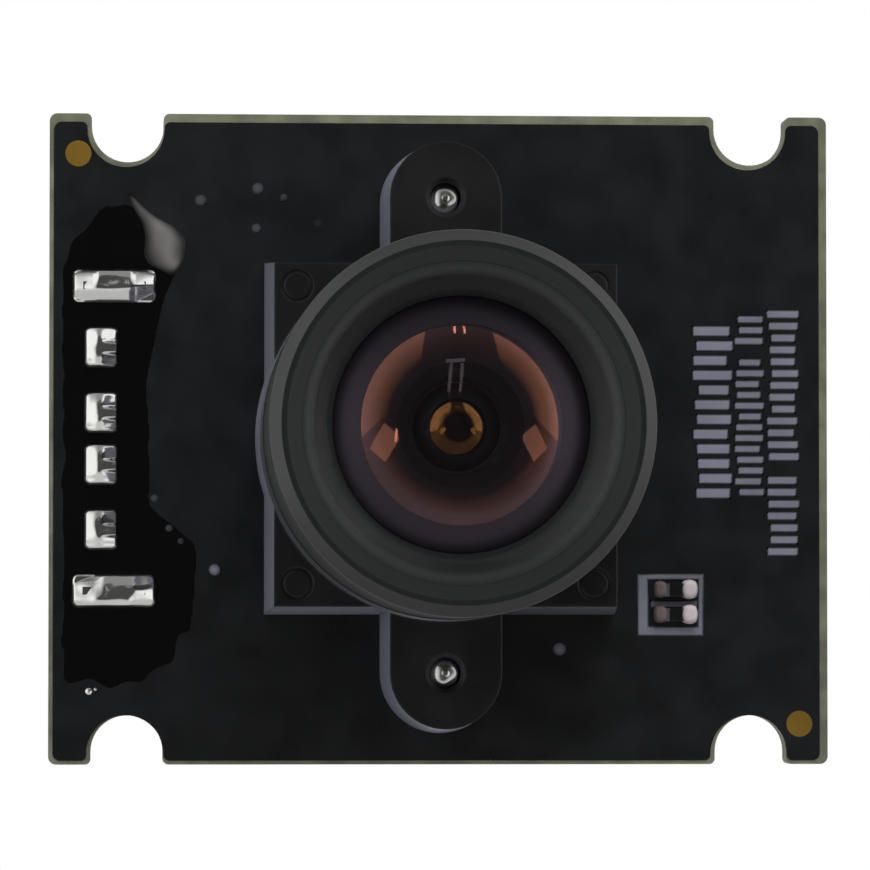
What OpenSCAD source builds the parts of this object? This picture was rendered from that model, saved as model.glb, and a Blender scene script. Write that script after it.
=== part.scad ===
// Board camera with a screw-in lens on the front and an upright plug on the back.
// Pieces are drawn in the board's own frame (x right, y up, z out of the front) and upright() turns
// them so that +Z is up and the lens looks along -Y. The origin is the centre of the four edge
// notches, on the board's rear face.

/* [Board] */
// Width of the circuit board, along X
board_w = 30; // [28:0.5:45]
// Height of the circuit board, along Z
board_h = 25; // [24:0.5:40]
// Thickness of the laminate
board_t = 1.2; // [0.8:0.1:1.6]
// Radius of the board's outer corners
board_corner_r = 0.3; // [0.1:0.05:1]

/* [Edge notches] */
// Radius of the round floor of each notch
notch_r = 1.38; // [1:0.02:1.8]
// Distance from a side edge to the notch's centre line
notch_edge_x = 3; // [2.5:0.1:5]
// Distance from the top or bottom edge to the centre of the notch's round floor
notch_edge_y = 0.5; // [0:0.1:1.5]
// Radius of the rounded corners at each notch's mouth
notch_mouth_r = 0.22; // [0.1:0.02:0.5]

/* [Solder mask] */
// Thickness of the mask
mask_t = 0.04; // [0.02:0.01:0.1]
// Mean distance from the board's edge to the mask's edge
mask_inset = 0.24; // [0.15:0.01:0.5]
// Sideways registration error of the front mask
mask_shift_x = -0.07; // [-0.1:0.01:0.1]
// Upward registration error of the front mask
mask_shift_y = -0.09; // [-0.1:0.01:0.1]
// Width of bare laminate left round each notch
mask_notch_gap = 0.1; // [0.05:0.01:0.3]

/* [Fiducials] */
// Radius of each bare copper disc
fiducial_r = 0.5; // [0.3:0.05:0.6]
// Distance from a side edge to the disc's centre
fiducial_edge_x = 1.1; // [0.9:0.1:1.3]
// Distance from the top or bottom edge to the disc's centre
fiducial_edge_y = 1.55; // [1:0.05:4]

/* [Lens holder] */
// Side of the square base at its top
holder_w = 13; // [12.4:0.1:16]
// Height of the base and its ears above the mask
holder_h = 4.06; // [3.4:0.02:6]
// How far each wall leans out from top to foot, for release from the mould
holder_draft = 0.25; // [0:0.01:0.5]
// Outer radius of the round tower at its top
tower_r = 7.02; // [6.9:0.02:8]
// How far the tower's wall leans out from top to foot
tower_draft = 0.08; // [0:0.01:0.3]
// Height of the tower above the mask
tower_h = 6.6; // [5.5:0.1:8]
// Width of each ear at its top
ear_w = 4.25; // [3.4:0.05:5]
// How far each ear's wall leans out from top to foot
ear_draft = 0.18; // [0:0.01:0.4]
// Distance between the two screw holes
screw_pitch = 18; // [17.5:0.1:19]
// Radius of the pilot hole in each ear
pilot_r = 0.6; // [0.4:0.02:0.75]
// Radius of the countersunk mouth of the pilot hole
pilot_mouth_r = 0.74; // [0.5:0.02:0.95]
// Depth of the countersunk mouth
pilot_mouth_h = 0.16; // [0.05:0.01:0.4]
// Thickness of the web between the lens thread and the sensor room
web_t = 0.5; // [0.3:0.05:1]
// Height of the web's underside above the mask
web_h = 2.2; // [1.9:0.1:2.6]
// Side of the square window in the web
web_window = 6; // [4:0.1:7]
// Width of the sensor room under the web
room_w = 11; // [9:0.1:11.5]
// Height of the sensor room's outline
room_h = 10.4; // [9:0.1:11]
// Radius of the raised ring left by each ejector pin
ejector_r = 0.6; // [0.3:0.05:0.8]
// Width of the raised ring's line
ejector_line_w = 0.09; // [0.05:0.01:0.2]
// Depth of the ejector pin marks
ejector_depth = 0.04; // [0.01:0.01:0.1]
// Distance of the ejector pin marks from the base's centre lines
ejector_pos = 5.62; // [5:0.01:5.8]

/* [Lens barrel] */
// Height of the rim above the board's front face
rim_h = 14.7; // [13:0.1:20]
// Outer radius of the head
head_r = 7; // [6.7:0.05:9]
// Height of the head from its rear shoulder to the rim
head_len = 7.5; // [6:0.1:12]
// Mean radius of the thread that screws into the tower
thread_r = 5.86; // [5.6:0.02:6]
// Width of the bevel round the rim
rim_bevel = 0.52; // [0.2:0.02:0.8]
// Width of the flat crest of the rim
rim_flat = 0.1; // [0.02:0.01:0.2]
// Depth of the sunk cone from the rim to the mouth
cone_depth = 1.76; // [1:0.02:2.2]
// Radius of the mouth in front of the glass
mouth_r = 4.69; // [4.2:0.02:4.9]
// Depth of the locking ring's outer edge below the rim
ring_drop = 0.18; // [0.1:0.01:0.4]
// Radius of the locking ring's rounded front edge
ring_crest_r = 0.7; // [0.3:0.05:0.9]
// How far that rounded edge already slopes inwards where it starts, in degrees
ring_crest_tilt = 10; // [5:1:20]
// Height of the straight lip round the mouth
mouth_lip = 0.15; // [0.05:0.01:0.3]
// Outer radius of the ring that locks the front glass
ring_r = 5.86; // [5.6:0.02:6.1]
// Radius of the glass's seat
front_seat_r = 5.3; // [5:0.02:5.6]
// Radius of the bore that holds the inner glass
stack_r = 3.9; // [3.6:0.02:4.2]
// Radius of the opening in the rear lip
rear_mouth_r = 2.7; // [2:0.05:3]
// Thickness of the rear lip
rear_lip_t = 0.5; // [0.3:0.05:1]

/* [Lens glass] */
// Radius of curvature of the front glass's outer face
front_curve = 12.4; // [10:0.1:40]
// Radius of curvature of the front glass's hollow face
hollow_curve = 8.2; // [7.5:0.1:20]
// Radius of the hollow
hollow_r = 3.48; // [3.2:0.02:3.7]
// Thickness of the front glass at its middle
front_centre_t = 1.3; // [1:0.05:1.6]
// Radius of the hole in the front spacer
front_spacer_hole_r = 1.62; // [1.5:0.02:1.8]
// Thickness of the front spacer at its edge
front_spacer_t = 1.73; // [1.6:0.01:2]
// Outer radius of the flat ledge round that hole
spacer_ledge_r = 2.5; // [2.2:0.05:3]
// Height of the ledge above the second glass
spacer_ledge_h = 0.62; // [0.5:0.01:0.8]
// Radius of curvature of the second glass's front bulge
bulge_curve = 2.05; // [1.9:0.05:4]
// Thickness of the second glass at its edge
second_t = 1.2; // [0.8:0.05:2]
// Thickness of the stop plate
stop_t = 0.15; // [0.1:0.01:0.3]
// Radius of the stop's hole
stop_hole_r = 0.8; // [0.4:0.02:1.5]
// Thickness of the third glass at its edge
third_t = 0.7; // [0.5:0.05:1.2]
// Thickness of the rear glass at its edge
rear_t = 0.8; // [0.5:0.05:1.2]
// Radius of curvature of the inner glasses' bulging faces
inner_curve = 7; // [5:0.1:15]
// Radius of curvature of the second glass's hollow rear face
second_hollow_curve = 3.6; // [3:0.1:8]
// Depth of that hollow
second_hollow_sag = 0.3; // [0.1:0.05:0.5]

/* [Filter and sensor] */
// Side of the square infrared filter
filter_w = 8; // [6:0.1:9]
// Thickness of the filter
filter_t = 0.3; // [0.2:0.05:0.5]
// Width of the image sensor
sensor_w = 5.8; // [4:0.1:8]
// Height of the image sensor's outline
sensor_h = 4.7; // [3:0.1:7]
// Thickness of the sensor's silicon
sensor_t = 0.4; // [0.2:0.05:0.8]
// Thickness of the glass bonded on the sensor
sensor_glass_t = 0.4; // [0.2:0.05:0.6]
// Height of the solder balls under the sensor
ball_h = 0.2; // [0.1:0.05:0.3]
// Distance between solder balls
ball_pitch = 0.8; // [0.5:0.05:1]

/* [Holder screws] */
// Radius of the thread's core in the plastic
screw_core_r = 0.58; // [0.4:0.02:0.7]
// Radius of the plain neck through the board
screw_neck_r = 0.7; // [0.5:0.02:0.8]
// Radius of the pan head
screw_head_r = 1.35; // [1:0.05:1.6]
// Height of the pan head
screw_head_h = 0.85; // [0.5:0.05:1.2]
// How far the tip stays below the ear's top
screw_tip_drop = 0.3; // [0:0.05:1]
// Radius of the board's clearance hole
screw_hole_r = 0.8; // [0.6:0.02:1]
// Length of each arm of the cross recess
screw_recess_l = 0.75; // [0.5:0.05:0.9]
// Width of the cross recess
screw_recess_w = 0.28; // [0.2:0.02:0.4]
// Depth of the cross recess
screw_recess_h = 0.45; // [0.3:0.05:0.6]

/* [Plug] */
// Width of the plug's shell across its pins
plug_w = 12; // [11.6:0.1:14.4]
// Thickness of the plug's shell
plug_d = 4.5; // [4.2:0.1:5.4]
// Length of the shell behind the board
plug_len = 18.8; // [16:0.1:24]
// Distance from the board's side edge to the shell's centre line
plug_edge = 2.5; // [2.5:0.1:4]
// Thickness of the shell's sheet steel
plug_sheet = 0.3; // [0.2:0.02:0.4]
// Radius of the shell's outer corners
plug_corner_r = 0.6; // [0.4:0.05:1]
// Depth of the plug's mouth
plug_mouth = 9; // [8:0.1:11]
// Thickness of the tongue that carries the contacts
tongue_t = 1.9; // [1.6:0.05:2.1]
// Side of the square latch windows in the shell
plug_window = 2.4; // [1.8:0.1:2.6]
// Distance of the latch windows from the shell's mouth
plug_window_edge = 4.3; // [3.5:0.1:6]
// Distance of the inner contacts from the middle
contact_inner = 1; // [0.9:0.05:1.2]
// Distance of the outer contacts from the middle
contact_outer = 3.5; // [3.2:0.05:4]
// Width of each contact strip
contact_w = 1; // [0.8:0.05:1.2]
// Thickness of each contact strip
contact_t = 0.2; // [0.15:0.01:0.3]
// Width of each contact's pin
pin_w = 0.6; // [0.4:0.05:0.8]
// How far pins and tabs stand out of the board's front face
pin_proud = 0.5; // [0.2:0.05:1]
// Width of each of the shell's two tabs
tab_w = 2.4; // [1.5:0.1:2.6]

/* [Solder] */
// Width of each pin's solder pad
pin_pad_w = 1.3; // [1.1:0.05:1.5]
// Height of each pin's solder pad
pin_pad_h = 1.6; // [1.2:0.05:1.8]
// Length of each tab's solder pad
tab_pad_w = 3.2; // [2.8:0.05:3.6]
// Height of each tab's solder pad
tab_pad_h = 1.3; // [1.1:0.05:1.5]
// Thickness of solder that wets the whole pad
solder_t = 0.14; // [0.08:0.01:0.3]
// Height of the solder that climbs each pin
solder_climb = 0.42; // [0.2:0.02:0.5]
// Width of the mound's foot round each pin or tab
solder_foot = 0.56; // [0.45:0.02:0.6]
// Radius of the pads' corners
pad_corner_r = 0.25; // [0.1:0.05:0.4]

/* [Varnish over the joints] */
// Thickness of the varnish
varnish_t = 0.07; // [0.04:0.01:0.2]
// Bare ring left round each solder pad
varnish_gap = 0.02; // [0.01:0.01:0.2]

/* [Front chips] */
// Distance of the front resistors from the board's middle, along X
front_chip_x = 9.1; // [8.8:0.1:12]
// Distance of the front resistors' middle below the board's middle
front_chip_y = -6.28; // [-9:0.01:-4]
// Distance between the two front resistors
front_chip_pitch = 0.95; // [0.8:0.05:1.5]
// Length of a small chip resistor or capacitor
chip_l = 1; // [0.8:0.05:1.2]
// Width of a small chip
chip_w = 0.5; // [0.4:0.05:0.6]
// Height of a small chip
chip_h = 0.35; // [0.2:0.05:0.6]
// Length of a chip's metal end
chip_end = 0.25; // [0.15:0.01:0.35]

/* [Rear components] */
// Side of the controller's square body
controller_w = 7; // [5:0.1:8.4]
// Leads along each side of the controller
controller_leads_per_side = 12; // [8:1:13]
// Distance between the controller's leads
controller_pitch = 0.5; // [0.4:0.05:0.5]
// Distance of the controller's centre from the board's middle
controller_x = 4.2; // [3.8:0.1:6]
// Length of the memory chip's body
memory_l = 4.9; // [4:0.1:5.9]
// Width of the memory chip's body
memory_w = 3.9; // [3:0.1:4.4]
// Distance between the memory chip's leads
memory_pitch = 1.27; // [1:0.01:1.27]
// Height of the chips' bodies
chip_body_t = 1.4; // [1:0.05:1.7]
// Gap under the chips' bodies
chip_standoff = 0.1; // [0.05:0.01:0.15]
// Width of each lead of the controller
controller_lead_w = 0.22; // [0.15:0.01:0.3]
// Reach of each lead of the controller
controller_lead_l = 1; // [0.8:0.05:1.2]
// Thickness of each lead of the controller
controller_lead_t = 0.13; // [0.1:0.01:0.2]
// Width of each lead of the memory chip
memory_lead_w = 0.4; // [0.3:0.02:0.5]
// Reach of each lead of the memory chip
memory_lead_l = 0.95; // [0.8:0.05:1.1]
// Thickness of each lead of the memory chip
memory_lead_t = 0.18; // [0.1:0.01:0.25]
// Length of each regulator's body
regulator_l = 2.9; // [2.6:0.1:3.2]
// Width of each regulator's body
regulator_w = 1.5; // [1.2:0.1:1.7]
// Height of each regulator's body
regulator_h = 1.1; // [0.8:0.05:1.4]
// Distance between the regulators' leads
regulator_pitch = 0.95; // [0.9:0.01:1]
// Reach of each regulator's leads
regulator_lead_l = 0.62; // [0.5:0.02:0.8]
// Width of each regulator's lead
regulator_lead_w = 0.38; // [0.3:0.02:0.5]
// Thickness of each regulator's lead
regulator_lead_t = 0.14; // [0.1:0.01:0.2]
// Length of the crystal's can
crystal_l = 3.2; // [2.5:0.1:3.8]
// Width of the crystal's can
crystal_w = 2.5; // [2:0.1:3]
// Height of the crystal's can
crystal_h = 0.75; // [0.5:0.05:1.2]

/* [Clearances] */
// Radial gap of the glass and spacers in the barrel
glass_clear = 0.02; // [0.01:0.01:0.05]
// Radial gap of the barrel's thread in the tower
thread_clear = 0.1; // [0.06:0.01:0.14]
// Gap between a pin or tab and its hole in the board
hole_clear = 0.12; // [0.08:0.01:0.2]
// Gap between the head's shoulder and the tower's top
shoulder_gap = 0.56; // [0.3:0.02:3]
// Gap of the insulator inside the shell
insulator_clear = 0.03; // [0.02:0.01:0.06]

/* [Hidden] */
$fn = 96;

eps = 0.01;
rear_hole_gap = 0.3;
chip_bevel = 0.12;
notch_x = board_w / 2 - notch_edge_x;
notch_y = board_h / 2 - notch_edge_y;
fiducial_x = board_w / 2 - fiducial_edge_x;
fiducial_y = board_h / 2 - fiducial_edge_y;
front_z = board_t;
skin_z = board_t + mask_t;
screw_y = screw_pitch / 2;

// Lens heights, from the rear face of the board.
rim_z = front_z + rim_h;
mouth_z = rim_z - cone_depth;
shoulder_z = rim_z - head_len;
web_top_z = skin_z + web_h + web_t;
barrel_end_z = web_top_z + shoulder_gap / 2;
front_sag = front_curve - sqrt(pow(front_curve, 2) - pow(mouth_r, 2));
front_edge_z = mouth_z - glass_clear;
front_vertex_z = front_edge_z + front_sag;
hollow_vertex_z = front_vertex_z - front_centre_t;
hollow_sag = hollow_curve - sqrt(pow(hollow_curve, 2) - pow(hollow_r, 2));
front_seat_z = hollow_vertex_z - hollow_sag;
ring_top_z = rim_z - ring_drop;
ring_step_z = mouth_z + mouth_lip;
ring_step = 0.04;
thread_bevel = 0.3;
relief_r = 0.25;
relief_h = 0.35;
shoulder_bevel = 0.25;

// The inner stack, from the front glass's seat down to the rear lip.
stack_end_z = barrel_end_z + rear_lip_t;
second_top_z = front_seat_z - front_spacer_t;
stop_top_z = second_top_z - second_t;
third_top_z = stop_top_z - stop_t;
spacer_top_z = third_top_z - third_t;
rear_spacer_t = spacer_top_z - rear_t - stack_end_z;
spacer_hole_h = 0.5;
spacer_hole_bevel = 0.15;
spacer_rim = 0.15;
bulge_gap = 0.06;
rear_face_gap = 0.05;

// The screws' bevels.
tip_bevel_h = 0.3;
tip_bevel_r = 0.22;
head_bevel = 0.3;

// Places along the plug.
plug_x = -board_w / 2 + plug_edge;
plug_in_w = plug_w - 2 * plug_sheet;
plug_in_d = plug_d - 2 * plug_sheet;
tongue_face_x = plug_x - plug_in_d / 2 + tongue_t;
pin_offset = 0.45;
pin_x = tongue_face_x - pin_offset;
tongue_drop = 0.4;
contact_drop = 1.2;
contact_jog = 0.3;
tab_y = plug_w / 2 - plug_sheet / 2;
seam_w = 0.06;
pin_mound_l = 0.1;
tab_mound_end = 0.5;
contact_ys = [-contact_outer, -contact_inner, contact_inner, contact_outer];

// The brush's path round the joints, from the plug's centre line.
varnish_outline = [[-1.95, -9.35], [1, -9.35], [1.6, -8.65], [2.3, -8.6], [3.1, -6.2],
    [3.2, -4.1], [1.35, -2.6], [1.35, 0], [1.25, 2.3], [1.85, 5.2], [2.75, 7.2], [0.25, 9.2],
    [-1.7, 7.6], [-2, 6.5]];

// Rear chips, as [x, y, turn] in the board's frame.
memory_x = plug_x + plug_d / 2 + 3.35;
crystal_y = 6.1;
crystal_step = 0.2;
crystal_foot = 0.55;
regulator_y = board_h / 2 - 2.5;
regulator_places = [[6.6, regulator_y], [6.6, -regulator_y]];
rear_caps = [[9.8, 5.2, 0], [9.8, 6.6, 0], [-4.2, 8.6, 90], [-5.6, 8.6, 90], [10.2, -2.5, 90],
    [10.2, 0, 90], [10.2, 2.5, 90], [4.2, 6.1, 0], [4.2, -6.1, 0]];
rear_ress = [[-4.2, -8.6, 90], [-5.6, -8.6, 90], [-7, -8.6, 90], [7.2, -6.1, 0], [1.4, -6.1, 0],
    [11.8, -1.2, 90], [11.8, 1.2, 90]];

// Turns the board's frame upright: the front faces -Y and the board's y becomes +Z.
module upright() {
    rotate([90, 0, 0]) children();
}

module rounded_rect(w, h, r) {
    square([w - 2 * r, h], center = true);
    square([w, h - 2 * r], center = true);
    for (sx = [-1, 1], sy = [-1, 1]) translate([sx * (w / 2 - r), sy * (h / 2 - r)]) circle(r);
}

// One notch, open upwards, with its round floor centred on the origin and its mouth at edge.
module notch_cut(r, edge, mouth_r) {
    circle(r);
    translate([-r, 0]) square([2 * r, edge + 1]);
    for (s = [-1, 1]) {
        difference() {
            translate([s * (r + mouth_r / 2), edge - mouth_r / 2 + 0.5])
                square([mouth_r + eps, mouth_r + 1], center = true);
            translate([s * (r + mouth_r), edge - mouth_r]) circle(mouth_r, $fn = 48);
        }
    }
}

// The board's outline, drawn in by inset at the edges and by gap round the notches.
module board_outline(inset, gap) {
    difference() {
        rounded_rect(board_w - 2 * inset, board_h - 2 * inset, board_corner_r);
        for (sx = [-1, 1], side = [0, 180]) rotate(side) translate([sx * notch_x, notch_y])
            notch_cut(notch_r + gap, notch_edge_y - inset, notch_mouth_r);
    }
}

module slot_2d(l, w) {
    square([l - w, w], center = true);
    for (s = [-1, 1]) translate([s * (l - w) / 2, 0]) circle(w / 2, $fn = 48);
}

// Holes in the laminate for pins, tabs and screws, each widened by extra.
module board_holes(extra) {
    for (y = contact_ys) translate([pin_x, y]) circle(pin_w / 2 + hole_clear + extra, $fn = 48);
    for (s = [-1, 1]) translate([plug_x, s * tab_y])
        slot_2d(tab_w + 2 * hole_clear + 2 * extra, plug_sheet + 2 * hole_clear + 2 * extra);
    for (s = [-1, 1]) translate([0, s * screw_y]) circle(screw_hole_r + extra);
}

module pad_windows(grow) {
    for (y = contact_ys) translate([pin_x, y])
        rounded_rect(pin_pad_w + 2 * grow, pin_pad_h + 2 * grow, pad_corner_r);
    for (s = [-1, 1]) translate([plug_x, s * tab_y])
        rounded_rect(tab_pad_w + 2 * grow, tab_pad_h + 2 * grow, pad_corner_r);
}

module fiducial_discs() {
    translate([-fiducial_x, fiducial_y]) circle(fiducial_r);
    translate([fiducial_x, -fiducial_y]) circle(fiducial_r);
}

// Board ---------------------------------------------------------------------------------------

module circuit_board() {
    color("#b9bb9a") upright() linear_extrude(board_t) difference() {
        board_outline(0, 0);
        board_holes(0);
    }
}

module front_solder_mask() {
    color("#1c1d1f") upright() translate([0, 0, front_z]) linear_extrude(mask_t) difference() {
        translate([mask_shift_x, mask_shift_y]) board_outline(mask_inset, mask_notch_gap);
        for (s = [-1, 1]) translate([0, s * screw_y]) circle(screw_hole_r);
        pad_windows(0);
        fiducial_discs();
    }
}

module rear_solder_mask() {
    color("#1c1d1f") upright() translate([0, 0, -mask_t]) linear_extrude(mask_t) difference() {
        board_outline(mask_inset, mask_notch_gap);
        board_holes(rear_hole_gap);
    }
}

module fiducials() {
    color("#8a682c") upright() translate([0, 0, front_z]) linear_extrude(mask_t) fiducial_discs();
}

// Lens holder ---------------------------------------------------------------------------------

// A block whose four walls lean out by the draft towards its foot.
module drafted_block(w, h, draft) {
    intersection() {
        rotate([90, 0, 0]) linear_extrude(w + 4, center = true)
            polygon([[-w / 2 - draft, 0], [w / 2 + draft, 0], [w / 2, h], [-w / 2, h]]);
        rotate([90, 0, 90]) linear_extrude(w + 4, center = true)
            polygon([[-w / 2 - draft, 0], [w / 2 + draft, 0], [w / 2, h], [-w / 2, h]]);
    }
}

// The two ears: a drafted bar with a round end about each screw hole.
module ears() {
    rotate([90, 0, 0]) linear_extrude(screw_pitch, center = true)
        polygon([[-ear_w / 2 - ear_draft, 0], [ear_w / 2 + ear_draft, 0],
            [ear_w / 2, holder_h], [-ear_w / 2, holder_h]]);
    for (s = [-1, 1]) translate([0, s * screw_y, 0])
        cylinder(holder_h, ear_w / 2 + ear_draft, ear_w / 2);
}

module ejector_mark(r) {
    difference() {
        cylinder(2 * ejector_depth, r = r, center = true);
        cylinder(4 * ejector_depth, r = r - ejector_line_w, center = true);
    }
}

module lens_holder() {
    color("#202124") upright() translate([0, 0, skin_z]) difference() {
        union() {
            drafted_block(holder_w, holder_h, holder_draft);
            ears();
            cylinder(tower_h, tower_r + tower_draft, tower_r);
        }
        translate([0, 0, web_h + web_t]) cylinder(tower_h, r = thread_r + thread_clear);
        translate([-web_window / 2, -web_window / 2, -1])
            cube([web_window, web_window, tower_h + 2]);
        translate([-room_w / 2, -room_h / 2, -1]) cube([room_w, room_h, web_h + 1]);
        for (s = [-1, 1]) translate([0, s * screw_y, 0]) {
            translate([0, 0, -1]) cylinder(holder_h + 2, r = pilot_r);
            translate([0, 0, holder_h - pilot_mouth_h])
                cylinder(pilot_mouth_h + eps, pilot_r, pilot_mouth_r);
        }
        for (sx = [-1, 1], sy = [-1, 1])
            translate([sx * ejector_pos, sy * ejector_pos, holder_h]) ejector_mark(ejector_r);
    }
}

// A pan-head screw driven from the back, its tip just short of the ear's top.
module holder_screw(y) {
    tip_z = skin_z + holder_h - screw_tip_drop;
    head_z = -mask_t - screw_head_h;
    color("#c8c8c6") upright() translate([0, y, 0]) difference() {
        union() {
            translate([0, 0, head_z + head_bevel])
                cylinder(screw_head_h - head_bevel, r = screw_head_r);
            translate([0, 0, head_z])
                cylinder(head_bevel + eps, screw_head_r - head_bevel, screw_head_r);
            translate([0, 0, -mask_t - eps]) cylinder(skin_z + mask_t + eps, r = screw_neck_r);
            translate([0, 0, skin_z - eps])
                cylinder(tip_z - skin_z - tip_bevel_h + eps, r = screw_core_r);
            translate([0, 0, tip_z - tip_bevel_h])
                cylinder(tip_bevel_h, screw_core_r, screw_core_r - tip_bevel_r);
        }
        for (turn = [0, 90]) rotate(turn)
            translate([-screw_recess_l, -screw_recess_w / 2, head_z - 1])
                cube([2 * screw_recess_l, screw_recess_w, 1 + screw_recess_h]);
    }
}

module holder_screw_upper() {
    holder_screw(screw_y);
}

module holder_screw_lower() {
    holder_screw(-screw_y);
}

// Lens ----------------------------------------------------------------------------------------

// The turned barrel: bevelled head, shoulder, threaded neck and the stepped bore for the glass.
module lens_barrel() {
    crest_r = head_r - rim_bevel - rim_flat;
    color("#2b2c2e") upright() rotate_extrude() difference() {
        polygon([[0, barrel_end_z], [thread_r - thread_bevel, barrel_end_z],
            [thread_r, barrel_end_z + thread_bevel], [thread_r, shoulder_z - 2 * relief_r],
            [thread_r - relief_r, shoulder_z - relief_h], [thread_r - relief_r, shoulder_z],
            [head_r - shoulder_bevel, shoulder_z], [head_r, shoulder_z + shoulder_bevel],
            [head_r, rim_z - rim_bevel], [head_r - rim_bevel, rim_z], [0, rim_z]]);
        polygon([[-1, ring_step_z], [ring_r, ring_step_z], [ring_r, ring_top_z + ring_step],
            [crest_r, rim_z], [crest_r, rim_z + 1], [-1, rim_z + 1]]);
        translate([-1, front_seat_z]) square([front_seat_r + 1, ring_step_z + eps - front_seat_z]);
        translate([-1, stack_end_z]) square([stack_r + 1, rim_z]);
        translate([-1, 0]) square([rear_mouth_r + 1, rim_z]);
    }
}

// The ring that locks the front glass. A straight cone runs up from the mouth's lip and meets the
// ring's rounded front edge without a crease.
module front_retaining_ring() {
    r = ring_r - glass_clear;
    lip = [mouth_r, ring_step_z];
    edge = [r, ring_top_z];
    centre = edge + ring_crest_r * [sin(ring_crest_tilt), -cos(ring_crest_tilt)];
    run = centre - lip;
    tangent = sqrt(pow(norm(run), 2) - pow(ring_crest_r, 2));
    slope = atan2(run[1], run[0]) + asin(ring_crest_r / norm(run));
    meet = lip + tangent * [cos(slope), sin(slope)];
    color("#303133") upright() rotate_extrude() {
        translate([mouth_r, mouth_z])
            square([front_seat_r - glass_clear - mouth_r, ring_step_z - mouth_z]);
        polygon([lip, [r, ring_step_z], edge, meet]);
        intersection() {
            translate(centre) circle(ring_crest_r);
            translate([meet[0], ring_step_z]) square([r - meet[0], rim_z - ring_step_z]);
        }
    }
}

// The front glass: a gentle dome outside, a deep hollow behind and a flat ground rim to sit on.
module front_glass() {
    r = front_seat_r - glass_clear;
    color("#5a5060") upright() rotate_extrude() intersection() {
        translate([0, front_seat_z]) square([r, front_vertex_z - front_seat_z]);
        difference() {
            translate([0, front_vertex_z - front_curve]) circle(front_curve, $fn = 240);
            translate([0, hollow_vertex_z - hollow_curve]) circle(hollow_curve, $fn = 240);
        }
        polygon([[0, front_seat_z], [r, front_seat_z], [r, front_edge_z],
            [mouth_r, front_edge_z], [0, front_vertex_z + 1]]);
    }
}

// The black spacer behind the hollow: a funnel, a flat ledge and a hole with a bevelled edge.
module front_spacer() {
    r = stack_r - glass_clear;
    funnel_r = hollow_r - spacer_rim;
    ledge_z = second_top_z + spacer_ledge_h;
    hole_z = second_top_z + spacer_hole_h;
    color("#1a1a1b") upright() rotate_extrude() difference() {
        translate([front_spacer_hole_r, second_top_z])
            square([r - front_spacer_hole_r, front_spacer_t]);
        polygon([[0, hole_z], [front_spacer_hole_r, hole_z],
            [front_spacer_hole_r + spacer_hole_bevel, ledge_z], [spacer_ledge_r, ledge_z],
            [funnel_r, front_seat_z], [funnel_r, front_seat_z + 1], [0, front_seat_z + 1]]);
    }
}

// The second glass bulges to the front through the spacer's hole and is hollow behind.
module second_glass() {
    bulge_r = front_spacer_hole_r - bulge_gap;
    bulge_sag = sag(bulge_curve, bulge_r);
    color("#7a6a58") upright() rotate_extrude() {
        difference() {
            translate([0, stop_top_z]) square([stack_r - glass_clear, second_t]);
            translate([0, stop_top_z + second_hollow_sag - second_hollow_curve])
                circle(second_hollow_curve, $fn = 240);
        }
        intersection() {
            translate([0, second_top_z - eps]) square([bulge_r, bulge_sag + eps]);
            translate([0, second_top_z + bulge_sag - bulge_curve]) circle(bulge_curve, $fn = 240);
        }
    }
}

module aperture_stop() {
    color("#151516") upright() translate([0, 0, third_top_z]) difference() {
        cylinder(stop_t, r = stack_r - glass_clear);
        translate([0, 0, -1]) cylinder(2, r = stop_hole_r);
    }
}

// A glass that is flat in front and bulges to the rear inside the spacer below it.
module third_glass() {
    r = stack_r - glass_clear;
    color("#8a93a0") upright() rotate_extrude() {
        translate([0, spacer_top_z]) square([r, third_t]);
        intersection() {
            translate([0, spacer_top_z - 3]) square([rear_mouth_r - rear_face_gap, 3 + eps]);
            translate([0, spacer_top_z - sag(inner_curve, rear_mouth_r) + inner_curve])
                circle(inner_curve, $fn = 240);
        }
    }
}

module rear_spacer() {
    color("#1a1a1b") upright() translate([0, 0, stack_end_z + rear_t]) difference() {
        cylinder(rear_spacer_t, r = stack_r - glass_clear);
        translate([0, 0, -1]) cylinder(rear_spacer_t + 2, r = rear_mouth_r);
    }
}

module rear_glass() {
    r = stack_r - glass_clear;
    color("#8a93a0") upright() rotate_extrude() {
        translate([0, stack_end_z]) square([r, rear_t]);
        intersection() {
            translate([0, stack_end_z]) square([rear_mouth_r - rear_face_gap, 3]);
            translate([0, stack_end_z + rear_t + sag(inner_curve, rear_mouth_r) - inner_curve])
                circle(inner_curve, $fn = 240);
        }
    }
}

// How far a face of the given curve falls away at radius r.
function sag(curve, r) = curve - sqrt(pow(curve, 2) - pow(r, 2));

// Filter and sensor ---------------------------------------------------------------------------

module centred_plate(w, h, t, z) {
    translate([-w / 2, -h / 2, z]) cube([w, h, t]);
}

module infrared_filter() {
    color("#9fc4c9") upright() centred_plate(filter_w, filter_w, filter_t, skin_z + web_h - filter_t);
}

module image_sensor() {
    color("#3a3f3a") upright() centred_plate(sensor_w, sensor_h, sensor_t, skin_z + ball_h);
}

module sensor_cover_glass() {
    color("#8fa7a0") upright()
        centred_plate(sensor_w, sensor_h, sensor_glass_t, skin_z + ball_h + sensor_t);
}

module sensor_solder_balls() {
    nx = floor((sensor_w - ball_pitch) / ball_pitch);
    ny = floor((sensor_h - ball_pitch) / ball_pitch);
    color("#c2c4c4") upright() for (i = [0:nx], j = [0:ny])
        translate([(i - nx / 2) * ball_pitch, (j - ny / 2) * ball_pitch, skin_z])
            cylinder(ball_h, r = ball_pitch * 0.2, $fn = 24);
}

// Plug ----------------------------------------------------------------------------------------

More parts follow.
